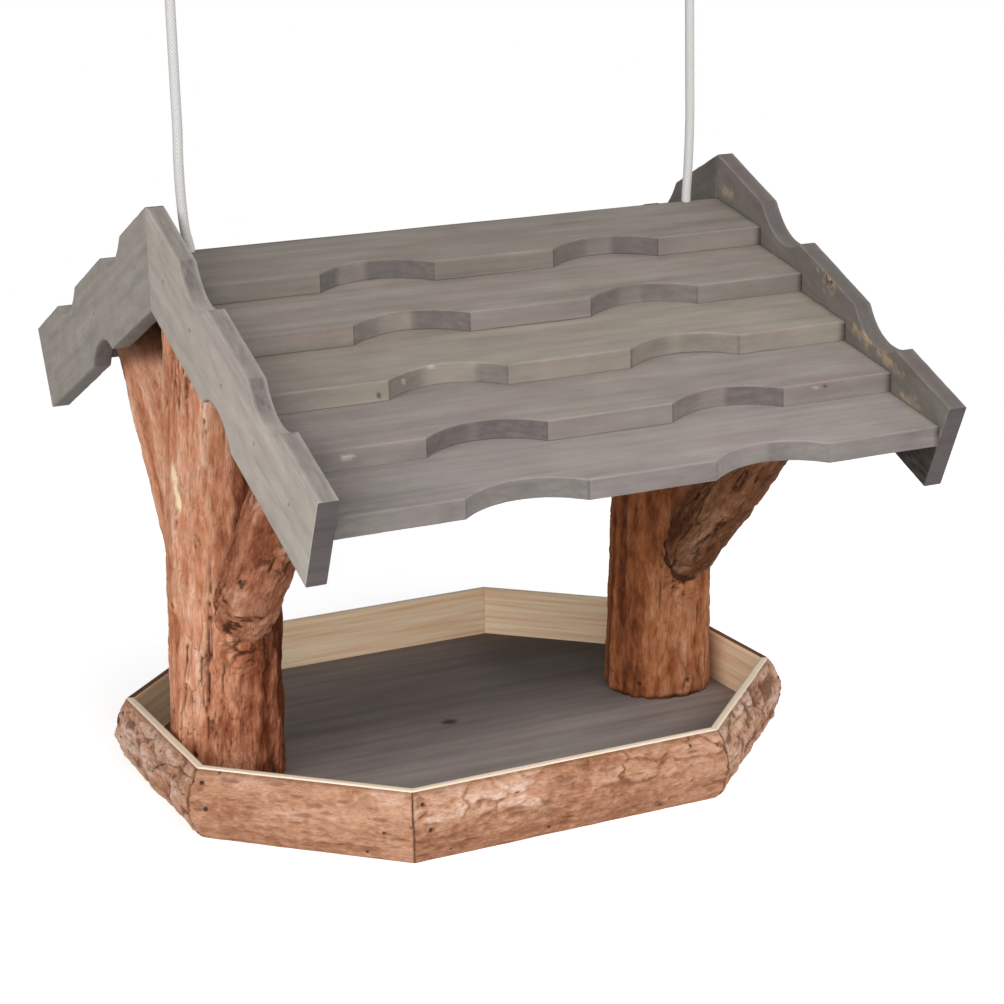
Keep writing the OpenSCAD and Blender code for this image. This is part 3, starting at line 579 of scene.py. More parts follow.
for side, seed in (("left", 201), ("right", 352)):
    middle, radius, foot = post_frame(side)
    rise = np.linspace(0, 1, int((ridge_z - foot) / POST_STEP))
    t, a = np.meshgrid(rise, bark_angles(radius), indexing="ij")
    cx, cy = radius * np.cos(a), radius * np.sin(a)
    top = ridge_z - board_t - (np.abs(cy) + TOP_BACK) * math.tan(BOARD_TILT)
    z = foot + t * (top - foot)
    low_bark, high_bark, split = POST_SHAGGY[side]
    coarse = low_bark + (high_bark - low_bark) * ease(90, 220, z)
    relief, tone, crack_and_shade = pine_bark(a * radius, z, 2 * math.pi * radius, seed, POST_PLATE, coarse, split)
    wobble = rough(cx / 5, cy / 5, z / 9, seed + 25, 2)
    burl_a, burl_z, burl_h = BURLS[side]
    burl = np.exp(-(turned(a, burl_a) / 0.44) ** 2 - ((z - burl_z) / 19) ** 2)
    swirl = rough(cx / 10 + z / 13, cy / 10, z / 4.4 - cx / 13, seed + 26, 2)
    wrinkle = burl * (1 - ease(0.02, 0.17, np.abs(swirl)))
    relief = relief + burl_h * burl - 1.8 * wrinkle
    crack_and_shade = np.maximum(crack_and_shade * (1 - 0.5 * burl), 0.95 * wrinkle)
    for from_a, from_z, to_a, to_z, depth in POST_SEAMS[side]:
        share = np.clip((z - from_z) / (to_z - from_z), 0, 1)
        off = np.abs(turned(a, from_a) - share * math.radians(to_a - from_a)) * radius + 2.2 * np.abs(wobble)
        seam = (1 - ease(0.3, 1.9, off)) * ease(0, 8, z - to_z) * ease(0, 8, from_z - z)
        relief, crack_and_shade = relief - depth * seam, np.maximum(crack_and_shade, min(depth, 1) * seam)
    # Painted light and shade on the sides, and the pale patch, shift the tone
    for at, up, wide, tall, change in POST_LIGHT_AND_TONE[side]:
        tone = tone + change * np.exp(-(turned(a, at) / math.radians(wide)) ** 2 - ((z - up) / tall) ** 2)
    pit, peeled = 0 * z, 0 * z
    for at, up, size in POST_KNOTS[side]:
        far = np.hypot(turned(a, at) * radius, z - up) + 1.6 * wobble
        pit = np.maximum(pit, 0.85 * (1 - ease(0.2 * size, 0.6 * size, far)))
        collar = np.exp(-((far - 0.85 * size) / 2.2) ** 2)
        relief = relief + 1.4 * collar - 2.0 * (1 - ease(0, 0.6 * size, far))
    for at, up, half, tall, slant in BARE_STRIPS[side]:
        off = np.abs(turned(a, at) * radius + slant * (z - up) + 1.2 * wobble) / half
        ends = np.abs(z - up) / tall
        peeled = np.maximum(peeled, (1 - ease(0.75, 1.05, off)) * (1 - ease(0.8, 1.05, ends + 0.3 * off)))
    skirt = (1 - ease(0, 3.5, z - foot)) * (0.9 + 2 * rough(cx / 4, cy / 4, 0, seed + 35, 2))
    # Painted shade where the post stands on the floor
    crack_and_shade = np.maximum(crack_and_shade, 0.8 * (1 - ease(0.5, 4, z - foot + 2 * wobble)))
    bottom, head = POST_LEAN[side]
    lean_x, lean_y, grow = (p + (q - p) * (z - foot) / (ridge_z - foot) for p, q in zip(bottom, head))
    r = radius - BARK_SINK + grow + relief - 1.2 * peeled - skirt
    x = middle + lean_x + r * np.cos(a)
    y = lean_y + r * np.sin(a)
    if side == "left":
        x = np.where(below_gable(y, z) < 1.5, np.maximum(x, gable_high[0] + PARED_GAP), x)
        # Painted shadow under the left gable on the back of the post
        crack_and_shade = np.maximum(crack_and_shade, gable_shadow(y, z) * ease(-6, 8, y))
    points, faces = loft(np.stack([x, y, z], -1))
    marks = {"grain": np.stack([cx, z, cy], -1), "tone": np.clip(tone, 0, 1), "crack_and_shade": crack_and_shade,
             "peeled": peeled, "pit": pit}
    piece("branch_post_" + side, points, faces, [post_bark[side], branch_wood], "house",
          ["trunk_" + side], marks, [0] * (len(faces) - 2) + [1, 1])

# Braces: thinner pine branches that lean from the posts out to the slopes. Each is cut to the post's round
# at its foot and sawn at the top to lie under the boards' upper edges. The right front one has coarse bark.
# Of each brace: post, slope, lean, height at which it meets the post, seed, roughness and size of its scales
BRACES = [("left", "front", 43, 94, 511, 0.8, (8, 20)), ("left", "back", 34, 92, 624, 0.45, (8, 26)),
          ("right", "front", 46, 90, 733, 1.1, (9, 44)), ("right", "back", 34, 92, 871, 1.0, (9, 28))]
BOARD_STEP_RUN = 48.6
FOOT_BITE, SEAT_GAP = 5.0, 1.5
# Painted shade where a brace meets its post: full up to the first distance from the foot, gone at the second
FOOT_SHADE = (5.0, 9.0)
# Where the hollows in the bark of the left front brace fade out above its foot
HOLLOWS_END = (30, 65)
BRACE_SWELL = 0.6
brace_bark = {
    "left": flaking_bark("brown_pink_brace_bark", ["#5f3320", "#834c34", "#a0664a", "#ba8468", "#d3a98f"],
                         "#371d12"),
    "right": flaking_bark("grey_brown_brace_bark", ["#43261a", "#66402a", "#80553b", "#997055", "#b08b71"],
                          "#24130b")}
seat_slope = math.tan(BOARD_TILT) + board_t / BOARD_STEP_RUN
for side, slope, lean, meet, seed, shaggy, plate in BRACES:
    node = "brace_%s_%s" % (side, slope)
    lean = math.radians(lean)
    facing = -1 if slope == "front" else 1
    low, high = box_mm(node)
    middle, post_r = post_frame(side)[:2]
    radius = (high[0] - low[0]) / 2
    origin = np.array([(low[0] + high[0]) / 2, 0, meet])
    axis = np.array([0, facing * math.sin(lean), math.cos(lean)])
    sideways = np.array([1.0, 0, 0])
    upper = np.cross(axis, sideways)
    angle = bark_angles(radius)
    cx, cy = radius * np.cos(angle), radius * np.sin(angle)
    base = origin + cx[:, None] * sideways + cy[:, None] * upper
    reach = np.sqrt(np.maximum((post_r - FOOT_BITE) ** 2 - (base[:, 0] - middle) ** 2, 0))
    s_foot = (reach - facing * base[:, 1]) / math.sin(lean)
    second_low, second_high = box_mm("roof_board_%s_2" % slope)
    back_edge = min(abs(second_low[1]), abs(second_high[1]))
    seat_z = second_high[2] - board_t + seat_slope * back_edge - SEAT_GAP
    s_top = (seat_z - seat_slope * facing * base[:, 1] - base[:, 2]) / (
        math.cos(lean) + seat_slope * math.sin(lean))
    steps = int((s_top - s_foot).max() / POST_STEP)
    t, j = np.meshgrid(np.linspace(0, 1, steps), np.arange(len(angle)), indexing="ij")
    s = s_foot[j] + t * (s_top - s_foot)[j]
    a, bx, by = angle[j], cx[j], cy[j]
    relief, tone, crack_and_shade = pine_bark(a * radius, s, 2 * math.pi * radius, seed, plate, shaggy)
    from_foot = s - s_foot[j]
    ragged = (1 - ease(0, 20, from_foot)) * (2.6 + 3 * rough(bx / 6, by / 6, s / 9, seed + 27, 2))
    # Painted shade where the brace meets the post
    crack_and_shade = np.maximum(crack_and_shade, 0.75 * (1 - ease(*FOOT_SHADE, from_foot)))
    if (side, slope) == ("left", "front"):
        hollow = rough(bx / 8 + s / 20, by / 8, s / 6 - bx / 16, seed + 28, 3)
        hollow = hollow * (1 - ease(*HOLLOWS_END, from_foot))
        # The bumps get painted light and the hollows painted shade
        relief, tone = relief + 1.8 * hollow, tone + 0.3 * hollow
        crack_and_shade = np.maximum(crack_and_shade, 0.85 * ease(0.1, 0.32, -hollow))
    scale = 1 + (relief + BRACE_SWELL - ragged) / radius
    rows = (origin + (bx * scale)[..., None] * sideways + (by * scale)[..., None] * upper
            + s[..., None] * axis)
    skin = brace_bark[side]
    if (side, slope) == ("left", "back"):
        # Painted shadow under the left gable
        crack_and_shade = np.maximum(crack_and_shade, gable_shadow(rows[..., 1], rows[..., 2]))
        skin, tone = post_bark["left"], tone + 0.15
    points, faces = loft(rows)
    marks = {"grain": np.stack([bx, s, by], -1), "tone": tone, "crack_and_shade": crack_and_shade}
    piece("branch_" + node, points, faces, [skin, branch_wood], "house", [node], marks,
          [0] * (len(faces) - 2) + [1, 1])

# Brace nails and post screws: the nails are driven through the braces' feet and rusted brown, the
# zinc-plated screws come up through the floor into the posts.
dress("brace_nails", spotted_steel(
    "rusted_nail_steel", 0.8, 0.2, 0.2, 0.5, (0.35, "#3a2217"), (0.7, "#5f3c2a")))
dress("post_screws", spotted_steel(
    "zinc_plated_steel", 0.35, 0.5, 1.0, 1.0, (0.3, "#a3a3a0"), (0.7, "#c6c6c2")))

# Roof boards: five lapped softwood boards on each slope, brushed with a thin grey stain. Two arched notches
# are sawn in each lower edge, where the stain took darker towards the ends of the cut; a few chips and dents
# show. Each board's left end carries grime and a painted shadow of the left gable, and its right end painted
# shade against the right gable.
SLOPES = (("front", -1), ("back", 1))
NOTCH_WIDTH, NOTCH_DEPTH, NOTCH_SPACING = 74.0, 12.0, 153.0
GRID, ARRIS = 2.0, 0.6
# Of each board from the ridge down: its stain, the shade of its lower edge, and the grime with a painted
# shadow of the left gable at its left end
BOARD_TONES = [("#716a63", "#8c857e"), ("#79716b", "#968e87"), ("#80796f", "#9c958b"), ("#7e7671", "#9b938d"),
               ("#847d79", "#a19a96")]
FACE_SHADE = [0.05, 0.25, 0.10, 0.22, 0.5]
GRIME_AND_SHADOW_SHARE = [0.38, 0.3, 0.5, 0.6, 0.75]
# Reach of that grime and painted shadow, and the share and reach of a narrow painted shadow along the left
# gable
GRIME_AND_SHADOW_REACH, CORNER_SHADOW, CORNER_SHADOW_REACH = 60.0, 0.3, 12.0
# Painted shade at the right end of each board's front face, in the corner against the right gable: full up to
# the first distance from the end, gone at the second
END_SHADE_SPAN = (2.0, 5.5)
# Of each board's two notches: shade at the left end and how far it goes, in the middle, and where the dark
# end starts and its shade
NOTCH_SHADES = [[(0.75, 0.20, 0.10, 0.46, 0.80), (0.50, 0.38, 0.20, 0.62, 0.75)],
                [(0.50, 0.26, 0.12, 0.55, 0.80), (0.60, 0.34, 0.30, 0.54, 0.65)],
                [(0.60, 0.34, 0.15, 0.78, 0.60), (0.30, 0.42, 0.08, 0.55, 0.32)],
                [(0.80, 0.40, 0.70, 0.50, 0.90), (0.45, 0.30, 0.30, 0.56, 0.80)],
                [(0.60, 0.40, 0.60, 0.50, 0.65), (0.40, 0.30, 0.30, 0.55, 0.65)]]
# Marks on the front boards, with their strength: board counted from the ridge, place along and down the
# slope, below the top, half length and half height
BOARD_MARKS = {
    "chip": (0.6, [(4, -147.5, 199.8, 5, 5.0, 1.4), (3, -89.3, 151.2, 5, 1.5, 1.3),
                   (3, -70, 151.2, 1, 3.0, 1.0), (4, 147.5, 199.8, 3, 2.2, 1.1)]),
    "dent_and_shadow": (0.9, [(3, -107.5, 151.2, 8, 1.8, 2.0), (4, 153.7, 199.8, 3, 1.6, 1.5)]),
    "bare": (0.25, [(2, -66, 102.6, 6, 13, 5.0), (4, -135, 199.8, 12, 24, 1.2),
                    (2, -118, 102.6, 6, 26, 5.0)])}
notch_r = ((NOTCH_WIDTH / 2) ** 2 + NOTCH_DEPTH ** 2) / (2 * NOTCH_DEPTH)
# An eased edge: how far its points lie back from the edge's face and from the face beside it
arris = [(ARRIS * (1 - math.sin(a)), ARRIS * (1 - math.cos(a))) for a in np.linspace(0, math.pi / 2, 4)]
for slope, facing in SLOPES:
    for k, tones in enumerate(BOARD_TONES, 1):
        node = "roof_board_%s_%d" % (slope, k)
        low, high = box_mm(node)
        near, far = sorted((abs(low[1]), abs(high[1])))
        near = 0.0 if k == 1 else near
        seed = 1000 + 10 * k + (5 if facing > 0 else 0)
        middle = (low[0] + high[0]) / 2
        notches = [middle - NOTCH_SPACING / 2, middle + NOTCH_SPACING / 2]
        corners = [n + s * (NOTCH_WIDTH / 2 + d) for n in notches for s in (-1, 1) for d in (-0.3, 0.3)]
        even = np.linspace(low[0], high[0], int((high[0] - low[0]) / GRID))
        x = np.sort(np.concatenate([even, corners]))
        bite = 0 * x
        shade = FACE_SHADE[k - 1] + 0.15 * rough(x / 30, 0, 2, seed + 1)
        # Painted shade at the right end, against the right gable
        shade = np.maximum(shade, 0.95 * (1 - ease(*END_SHADE_SPAN, high[0] - x)))
        for n, (left, left_end, mid, right_start, right) in zip(notches, NOTCH_SHADES[k - 1]):
            off = np.abs(x - n)
            inside = off < NOTCH_WIDTH / 2
            curve = np.sqrt(notch_r ** 2 - np.minimum(off, NOTCH_WIDTH / 2) ** 2) - (notch_r - NOTCH_DEPTH)
            bite = np.where(inside, curve, bite)
            go = (x - n) / NOTCH_WIDTH + 0.5 + 0.02 * rough(x / 6, 1, 1, seed)
            cut = mid + (left - mid) * (1 - ease(left_end - 0.05, left_end + 0.05, go))
            cut = cut + (right - cut) * ease(right_start - 0.03, right_start + 0.03, go)
            cut = np.maximum(cut, np.maximum(1 - ease(0, 0.05, go), ease(0.96, 1, go)))
            shade = np.where(inside, cut, shade)
        front = far - bite + 0.3 * rough(x / 11, 0, 0, seed)
        # Round the board: place down the slope, height, rubbing and share of the edge's shade
        ring = [(near + b * (front - ARRIS - near), 0.0, 0.0, 0.0) for b in np.linspace(0, 0.985, 28)]
        ring += [(front - e, -d, 0.35, 0.35) for e, d in arris]
        ring += [(front, -d, 0.0, 1.0) for d in np.linspace(1.4, board_t - 1.4, 7)]
        ring += [(front - d, e - board_t, 0.3, 1.0) for e, d in arris]
        ring += [(near + b * (front - ARRIS - near), -board_t, 0.0, 0.4) for b in (0.8, 0.4, 0.0)]
        ring += [(near + 0 * x, -board_t / 2, 0.0, 0.4)]
        across = np.stack([r[0] for r in ring], 1)
        down, rubbed, shaded = (np.array([r[i] for r in ring]) + 0 * across for i in (1, 2, 3))
        worn = rubbed * ease(-0.1, 0.5, rough(x / 25, 0, 4, seed + 2))[:, None]
        # Grime and a painted shadow of the left gable at the board's left end
        grime_and_shadow = GRIME_AND_SHADOW_SHARE[k - 1] * np.exp((low[0] - x) / GRIME_AND_SHADOW_REACH)
        grime_and_shadow = grime_and_shadow + CORNER_SHADOW * np.exp((low[0] - x) / CORNER_SHADOW_REACH)
        sawn = np.maximum(shaded * np.maximum(shade, 0)[:, None], grime_and_shadow[:, None])
        xs = np.broadcast_to(x[:, None], across.shape)
        grain = np.stack([across + 37 * seed, xs + 91 * seed, down], -1)
        marks = {"grain": grain, "worn": worn, "sawn": sawn}
        for key, (most, spots) in BOARD_MARKS.items():
            marks[key] = 0 * across
            for board, at_x, at_y, at_down, wide, tall in spots:
                if board == k and facing < 0:
                    drop = np.hypot(across - at_y + bite[:, None], down + at_down) / tall
                    off = np.hypot((xs - at_x) / wide, drop)
                    off = off + 0.4 * rough(xs / 3, across / 3, down / 3, seed + 5)
                    marks[key] = np.maximum(marks[key], most * (1 - ease(0.5, 1.2, off)))
        wave = 0.3 * rough(xs / 110, across / 50, 0, seed + 3, 2)
        z = ridge_z - (k - 1) * board_t - across * math.tan(BOARD_TILT) + down + wave * (down > -1)
        points, faces = loft(np.stack([xs, facing * across, z], -1))
        stain = stained_softwood("grey_stained_board_%s_%d" % (slope, k), *tones)
        piece("lapped_board_%s_%d" % (slope, k), points, faces, [stain], "house", [node],
              marks)

# Gable boards: four scalloped boards of the same stained softwood, mitred in pairs at the apex and bradded to
# the ends of the roof boards. Their sawn ends are dark. The right pair is darker inside, from a darker stain
# and from painted shade under the roof, with bare knots and scrapes. The left front board is stained paler as
# painted light, and the inner faces carry a painted shadow below the roof boards.
SCALLOP_DEPTH, TOOTH_RUN, MID_TOOTH_RUN, SCALLOP_RUN, LOW_SCALLOP = 10.5, 54.0, 62.0, 44.0, 85.0
HEAD_PROUD = 0.12
# How dark the sawn upper edge is at the upper and lower ends of its scallops, and on its teeth: the cut's
# darker stain with painted shade where the scallops turn from the light
GABLE_CUTS = {"left": (1.0, 0.2, 0.7), "right": (0.85, 0.4, 0.6)}
# Bare patches inside the right front gable, a knot first: place out from the ridge and up, half length and
# half width
GABLE_SCRAPES = [(131.3, 307.1, 10, 7), (12.3, 346.2, 6, 6), (172, 279, 16, 5), (194, 270, 15, 5),
                 (211, 251, 6, 4), (222, 249, 7, 3.5)]
gable_t = gable_high[0] - gable_low[0]
cos_p, sin_p, tan_p = math.cos(GABLE_PITCH), math.sin(GABLE_PITCH), math.tan(GABLE_PITCH)
gable_length = -gable_low[1] / cos_p
scallop_c = SCALLOP_RUN / cos_p
scallop_r = ((scallop_c / 2) ** 2 + SCALLOP_DEPTH ** 2) / (2 * SCALLOP_DEPTH)


def scallop(s, start):
    """Depth of a round scallop along the board's edge."""
    off = np.minimum(np.abs(s - start - scallop_c / 2), scallop_c / 2)
    return np.sqrt(scallop_r ** 2 - off ** 2) - scallop_r + SCALLOP_DEPTH


# The left front board's paler copy of the stain is painted light; the right pair's darker copy is partly
# painted shade under the roof
gable_stain = {
    board: stained_softwood(name, dark, light, streaky=0.15, clouds=(9, 24)) for board, name, dark, light in (
        ("left_front", "grey_stained_gable_painted_lit", "#98918a", "#bbb3ab"),
        ("left_back", "mid_grey_stained_gable", "#857f79", "#a49d96"),
        ("right_front", "dark_grey_stained_gable_painted_shade", "#655f59", "#807a74"))}
gable_stain["right_back"] = gable_stain["right_front"]
end_grain = stained_softwood("dark_stained_end_grain", "#4e4948", "#635d5d", marked=False)
for end in ("left", "right"):
    for slope, facing in SLOPES:
        node = "gable_%s_%s" % (end, slope)
        low, high = box_mm(node)
        outer, inner = (low[0] + HEAD_PROUD, high[0]) if end == "left" else (high[0] - HEAD_PROUD, low[0])
        seed = 1300 + (0 if end == "left" else 40) + (0 if facing < 0 else 20)
        s = np.linspace(0, gable_length, int(gable_length / GRID * 1.3))
        t = s / gable_length
        upper, lower, teeth = GABLE_CUTS[end]
        bite_top, cut_top = 0 * s, teeth + 0 * s
        for start in (TOOTH_RUN / cos_p, (TOOTH_RUN + SCALLOP_RUN + MID_TOOTH_RUN) / cos_p):
            bite_top = bite_top + scallop(s, start)
            gone = (s - start) / scallop_c
            curve = upper + (lower - upper) * ease(0.2, 0.7, gone)
            cut_top = np.where((gone > -0.04) & (gone < 1), curve, cut_top)
        bite_low = scallop(s + (1 - t) * GABLE_WIDTH * tan_p, (LOW_SCALLOP + GABLE_WIDTH * sin_p) / cos_p)
        top = -bite_top + 0.25 * rough(s / 9, 0, 3, seed)
        bottom = -GABLE_WIDTH + bite_low + 0.25 * rough(s / 9, 5, 3, seed)
        cut_low = 0.45 + 0.3 * (bite_low > 0.5)
        face = [bottom + ARRIS + b * (top - bottom - 2 * ARRIS) for b in np.linspace(0.02, 0.98, 26)]
        # Round the board: height, depth from the outer face, rubbing and shade
        ring = [(f, 0.0, 0.0, 0 * s) for f in face]
        ring += [(top - e, d, 0.3, 0.4 * cut_top) for e, d in arris]
        ring += [(top, d * gable_t, 0.1, cut_top) for d in (0.25, 0.5, 0.75)]
        ring += [(top - e, gable_t - d, 0.3, 0.5 * cut_top) for e, d in arris[::-1]]
        ring += [(f, gable_t, 0.0, 0.1 + 0 * s) for f in face[::-1]]
        ring += [(bottom + e, gable_t - d, 0.3, cut_low) for e, d in arris]
        ring += [(bottom, d * gable_t, 0.0, cut_low) for d in (0.75, 0.5, 0.25)]
        ring += [(bottom + e, d, 0.4, 0.6 * cut_low) for e, d in arris[::-1]]
        n, sawn = (np.stack([r[i] for r in ring], 1) for i in (0, 3))
        depth, rubbed = (np.array([r[i] for r in ring]) + 0 * n for i in (1, 2))
        worn = rubbed * ease(-0.2, 0.5, rough(s / 22, 2, 4, seed))[:, None]
        ss = s[:, None] - (1 - t)[:, None] * n * tan_p
        x = outer + (inner - outer) * depth / gable_t
        y = ss * cos_p + n * sin_p
        z = gable_high[2] - ss * sin_p + n * cos_p
        inside = depth > gable_t - 0.5
        bare = 0 * n
        # Painted shadow on the inner faces below the roof boards
        dent_and_shadow = inside * ease(0.5, 3, ridge_z - y * seat_slope - z)
        if end == "right" and facing < 0:
            for i, (at_y, at_z, wide, tall) in enumerate(GABLE_SCRAPES):
                off_s = ((y - at_y) * cos_p - (z - at_z) * sin_p) / wide
                off_n = ((y - at_y) * sin_p + (z - at_z) * cos_p) / tall
                off = np.hypot(off_s, off_n) + 1.1 * rough(y / 3, z / 3, 0, seed + 4)
                bare = np.maximum(bare, inside * (1 - ease(0.4, 1.0, off)))
                dent_and_shadow = np.maximum(dent_and_shadow, inside * (1 - ease(0.1, 0.4, off)) * (i == 0))
        points, faces = loft(np.stack([x, facing * y, z], -1))
        grain = np.stack([n + 53 * seed, ss + 71 * seed, depth], -1)
        marks = {"grain": grain, "worn": worn, "sawn": sawn, "bare": bare, "dent_and_shadow": dent_and_shadow}
        piece("scalloped_" + node, points, faces, [gable_stain[end + "_" + slope], end_grain], "house",
              [node], marks, [0] * (len(faces) - 1) + [1])

# Roof fasteners: brads through the laps and the gables, and nails into the braces and the posts. Their heads
# are set flush and brushed over with the boards' stain.
stained_over = stained_softwood("stain_over_steel", "#807973", "#97908a", marked=False)
for node in ("gable_brads", "roof_brads", "roof_nails"):
    dress(node, stained_over)

# Cords: two lengths of pale braided cord that come up through the ridge from a stopper knot. Above the
# picture each is turned back on itself in a loop and lashed with twine.
CORD_D = 6.0
CORD_STEP, CORD_SIDES = 0.5, 48
PIVOT_RISE = 1.0
STRAND_GAP = 7.0
LOOP_FOOT = 150.0
LOOP_TURN = [(0, 0), (0, 8), (0, 16), (-2.5, 23), (-8, 32.5), (-12.5, 44), (-8, 55.5), (3.5, 60), (15, 55.5),
             (19.5, 44), (15, 32.5), (9.5, 23), (STRAND_GAP, 16), (STRAND_GAP, 8), (STRAND_GAP, 0)]
RISES = {"left": [(0, -3), (0, 0), (-1, 5), (-2.5, 12), (-3.5, 25), (-4, 40), (-4, 55), (-3.5, 70),
                  (-3.5, 90), (-3.5, 110), (-3.5, 130)],
         "right": [(0, -3), (0, 0), (0.5, 8), (1.5, 20), (2.5, 38), (3, 55), (3, 72), (3, 90), (3, 110),
                   (3, 130)]}
BRAID_PITCH, BRAID_STRANDS = 20.0, 16
LASHING_UP, LASHING_HEIGHT = 150.5, 14.0
TWINE_D, TWINE_GAP, TWINE_PITCH, TWINE_STRANDS, TWINE_SIDES = 1.9, 0.1, 4.0, 4, 10
TURN_POINTS = 60
# The stopper knot: its reach and rise, how far its cord is squeezed, its points and those left open
KNOT_REACH, KNOT_RISE, KNOT_SQUEEZE, KNOT_POINTS, KNOT_OPEN, KNOT_SIDES = 1.55, 3.2, 0.4, 160, 4, 24
STEM_POINTS = 30


def travelled_along(line):
    """Distance along a line of points, at each of them."""
    return np.concatenate([[0], np.cumsum(np.linalg.norm(np.diff(line, axis=0), axis=1))])


def smooth_route(points, step):
    """Points every step along a curve through the given ones, and the curve's length."""
    p = np.array(points, float)
    q = np.vstack([2 * p[0] - p[1], p, 2 * p[-1] - p[-2]])
    u = np.linspace(0, 1, 24, endpoint=False)[:, None]
    parts = []
    for a, b, c, d in zip(q[:-3], q[1:-2], q[2:-1], q[3:]):
        parts.append(0.5 * (2 * b + (c - a) * u + (2 * a - 5 * b + 4 * c - d) * u ** 2
                            + (3 * b - a - 3 * c + d) * u ** 3))
    line = np.vstack(parts + [p[-1:]])
    gone = travelled_along(line)
    wanted = np.linspace(0, gone[-1], int(gone[-1] / step) + 1)
    return np.stack([np.interp(wanted, gone, line[:, c]) for c in range(3)], 1), gone[-1]


def strand_tube(line, radius, sides, pitch, strands):
    """Points, faces and bulge of a cord whose strands cross over and under round it."""
    ahead = np.gradient(line, axis=0)
    ahead /= np.linalg.norm(ahead, axis=1)[:, None]
    first, one = np.array([0.1, 1.0, 0.05]), []
    for t in ahead:
        first = first - t * (first @ t)
        first /= np.linalg.norm(first)
        one.append(first)
    one = np.array(one)
    two = np.cross(ahead, one)
    a = np.linspace(0, 2 * math.pi, sides, endpoint=False)
    w = strands / 2 * 2 * math.pi * travelled_along(line)[:, None] / pitch
    bulge = np.maximum(np.cos(strands / 2 * a + w), np.cos(strands / 2 * a - w))
    r = radius * (0.95 + 0.05 * bulge)
    rows = line[:, None, :] + r[..., None] * (np.cos(a)[None, :, None] * one[:, None, :]
                                             + np.sin(a)[None, :, None] * two[:, None, :])
    return *loft(rows), {"bulge": bulge}


# Polypropylene braid: pale and dull, with painted shade in the furrows between its strands
cord_braid, tree, shader = new_material("pale_polypropylene_braid", 0.75, 0.2)
bulge_here = add(tree, "ShaderNodeAttribute", out="Fac", attribute_name="bulge")
yarn = add(tree, "ShaderNodeValToRGB", {"Fac": bulge_here}, stops=[(0.0, "#bab8b6"), (0.9, "#cfcdcb")])
tree.links.new(yarn, shader.inputs["Base Color"])

for side in ("left", "right"):
    low, high = box_mm("cord_anchor_" + side)
    exit_x = (low[0] + high[0]) / 2
    pivot = np.array([exit_x, 0, ridge_z + PIVOT_RISE])
    foot_x = RISES[side][-1][0]
    route = RISES[side] + [(foot_x + x, LOOP_FOOT + z) for x, z in LOOP_TURN]
    line, length = smooth_route([pivot + np.array([x, 0, z]) for x, z in route], CORD_STEP)
    points, faces, bulge = strand_tube(line, CORD_D / 2, CORD_SIDES, BRAID_PITCH, BRAID_STRANDS)
    cord = piece("braided_cord_" + side, points, faces, [cord_braid], side + "_cord",
                 ["cord_" + side], bulge)
    turns = LASHING_HEIGHT / TWINE_D
    w = np.linspace(0, turns, int(turns * TURN_POINTS))
    bend_r = CORD_D / 2 + TWINE_D / 2 + TWINE_GAP
    bend = math.pi * bend_r
    d = (w % 1) * 2 * (STRAND_GAP + bend)
    stage = [d < STRAND_GAP, d < STRAND_GAP + bend, d < 2 * STRAND_GAP + bend]
    turn_1, turn_2 = (d - STRAND_GAP) / bend_r, (d - 2 * STRAND_GAP - bend) / bend_r
    tx = np.select(stage, [d, STRAND_GAP + bend_r * np.sin(turn_1), 2 * STRAND_GAP + bend - d],
                   -bend_r * np.sin(turn_2))
    ty = np.select(stage, [-bend_r + 0 * d, -bend_r * np.cos(turn_1), bend_r + 0 * d],
                   bend_r * np.cos(turn_2))
    tz = LASHING_UP + TWINE_D / 2 + w * (LASHING_HEIGHT - TWINE_D) / turns
    twine = pivot + np.stack([foot_x + tx, ty, tz], 1)
    points, faces, bulge = strand_tube(twine, TWINE_D / 2, TWINE_SIDES, TWINE_PITCH, TWINE_STRANDS)
    lashing = piece("twine_lashing_" + side, points, faces, [cord_braid], side + "_cord",
                    ["cord_knot_" + side], bulge)
    knot_z = low[2] + (high[0] - low[0]) / 2
    a = np.linspace(0, 2 * math.pi, KNOT_POINTS)[:-KNOT_OPEN]
    knot = np.stack([exit_x + KNOT_REACH * (np.sin(a) + 2 * np.sin(2 * a)),
                     KNOT_REACH * (np.cos(a) - 2 * np.cos(2 * a)), knot_z - KNOT_RISE * np.sin(3 * a)], 1)
    knot_r = CORD_D / 2 - KNOT_SQUEEZE
    points, faces, bulge = strand_tube(knot, knot_r, KNOT_SIDES, BRAID_PITCH, BRAID_STRANDS)
    piece("stopper_knot_" + side, points, faces, [cord_braid], "house",
          ["cord_anchor_" + side], bulge)
    stem_z = np.linspace(knot_z, high[2], STEM_POINTS)
    stem = np.stack([exit_x + 0 * stem_z, 0 * stem_z, stem_z], 1)
    points, faces, bulge = strand_tube(stem, CORD_D / 2, CORD_SIDES, BRAID_PITCH, BRAID_STRANDS)
    piece("cord_in_ridge_" + side, points, faces, [cord_braid], "house", (), bulge)

# Studio: a plain white floor and white all round for the camera. Large soft lamps stand at the left, in front
# and at the right, with one high in front and a weak one overhead.
AMBIENT = 0.13
FLOOR_RADIUS, FLOOR_SIDES, FLOOR_DROP = 0.95, 96, 0.5
FLOOR_GLOW = 0.6
LAMP_SIZE = 1.4
AIM = (0, 0, 0.2)
# Place and power of each lamp
LAMPS = {"left_softbox": ((-2.2, -0.9, 1.1), 27), "front_left_softbox": ((-1.5, -2.1, 0.7), 20),
         "front_softbox": ((-0.3, -2.5, 0.9), 14), "right_softbox": ((2.3, -0.6, 1.1), 12),
         "high_front_softbox": ((0.4, -2.0, 2.0), 32), "overhead_softbox": ((0, 0, 2.3), 6)}


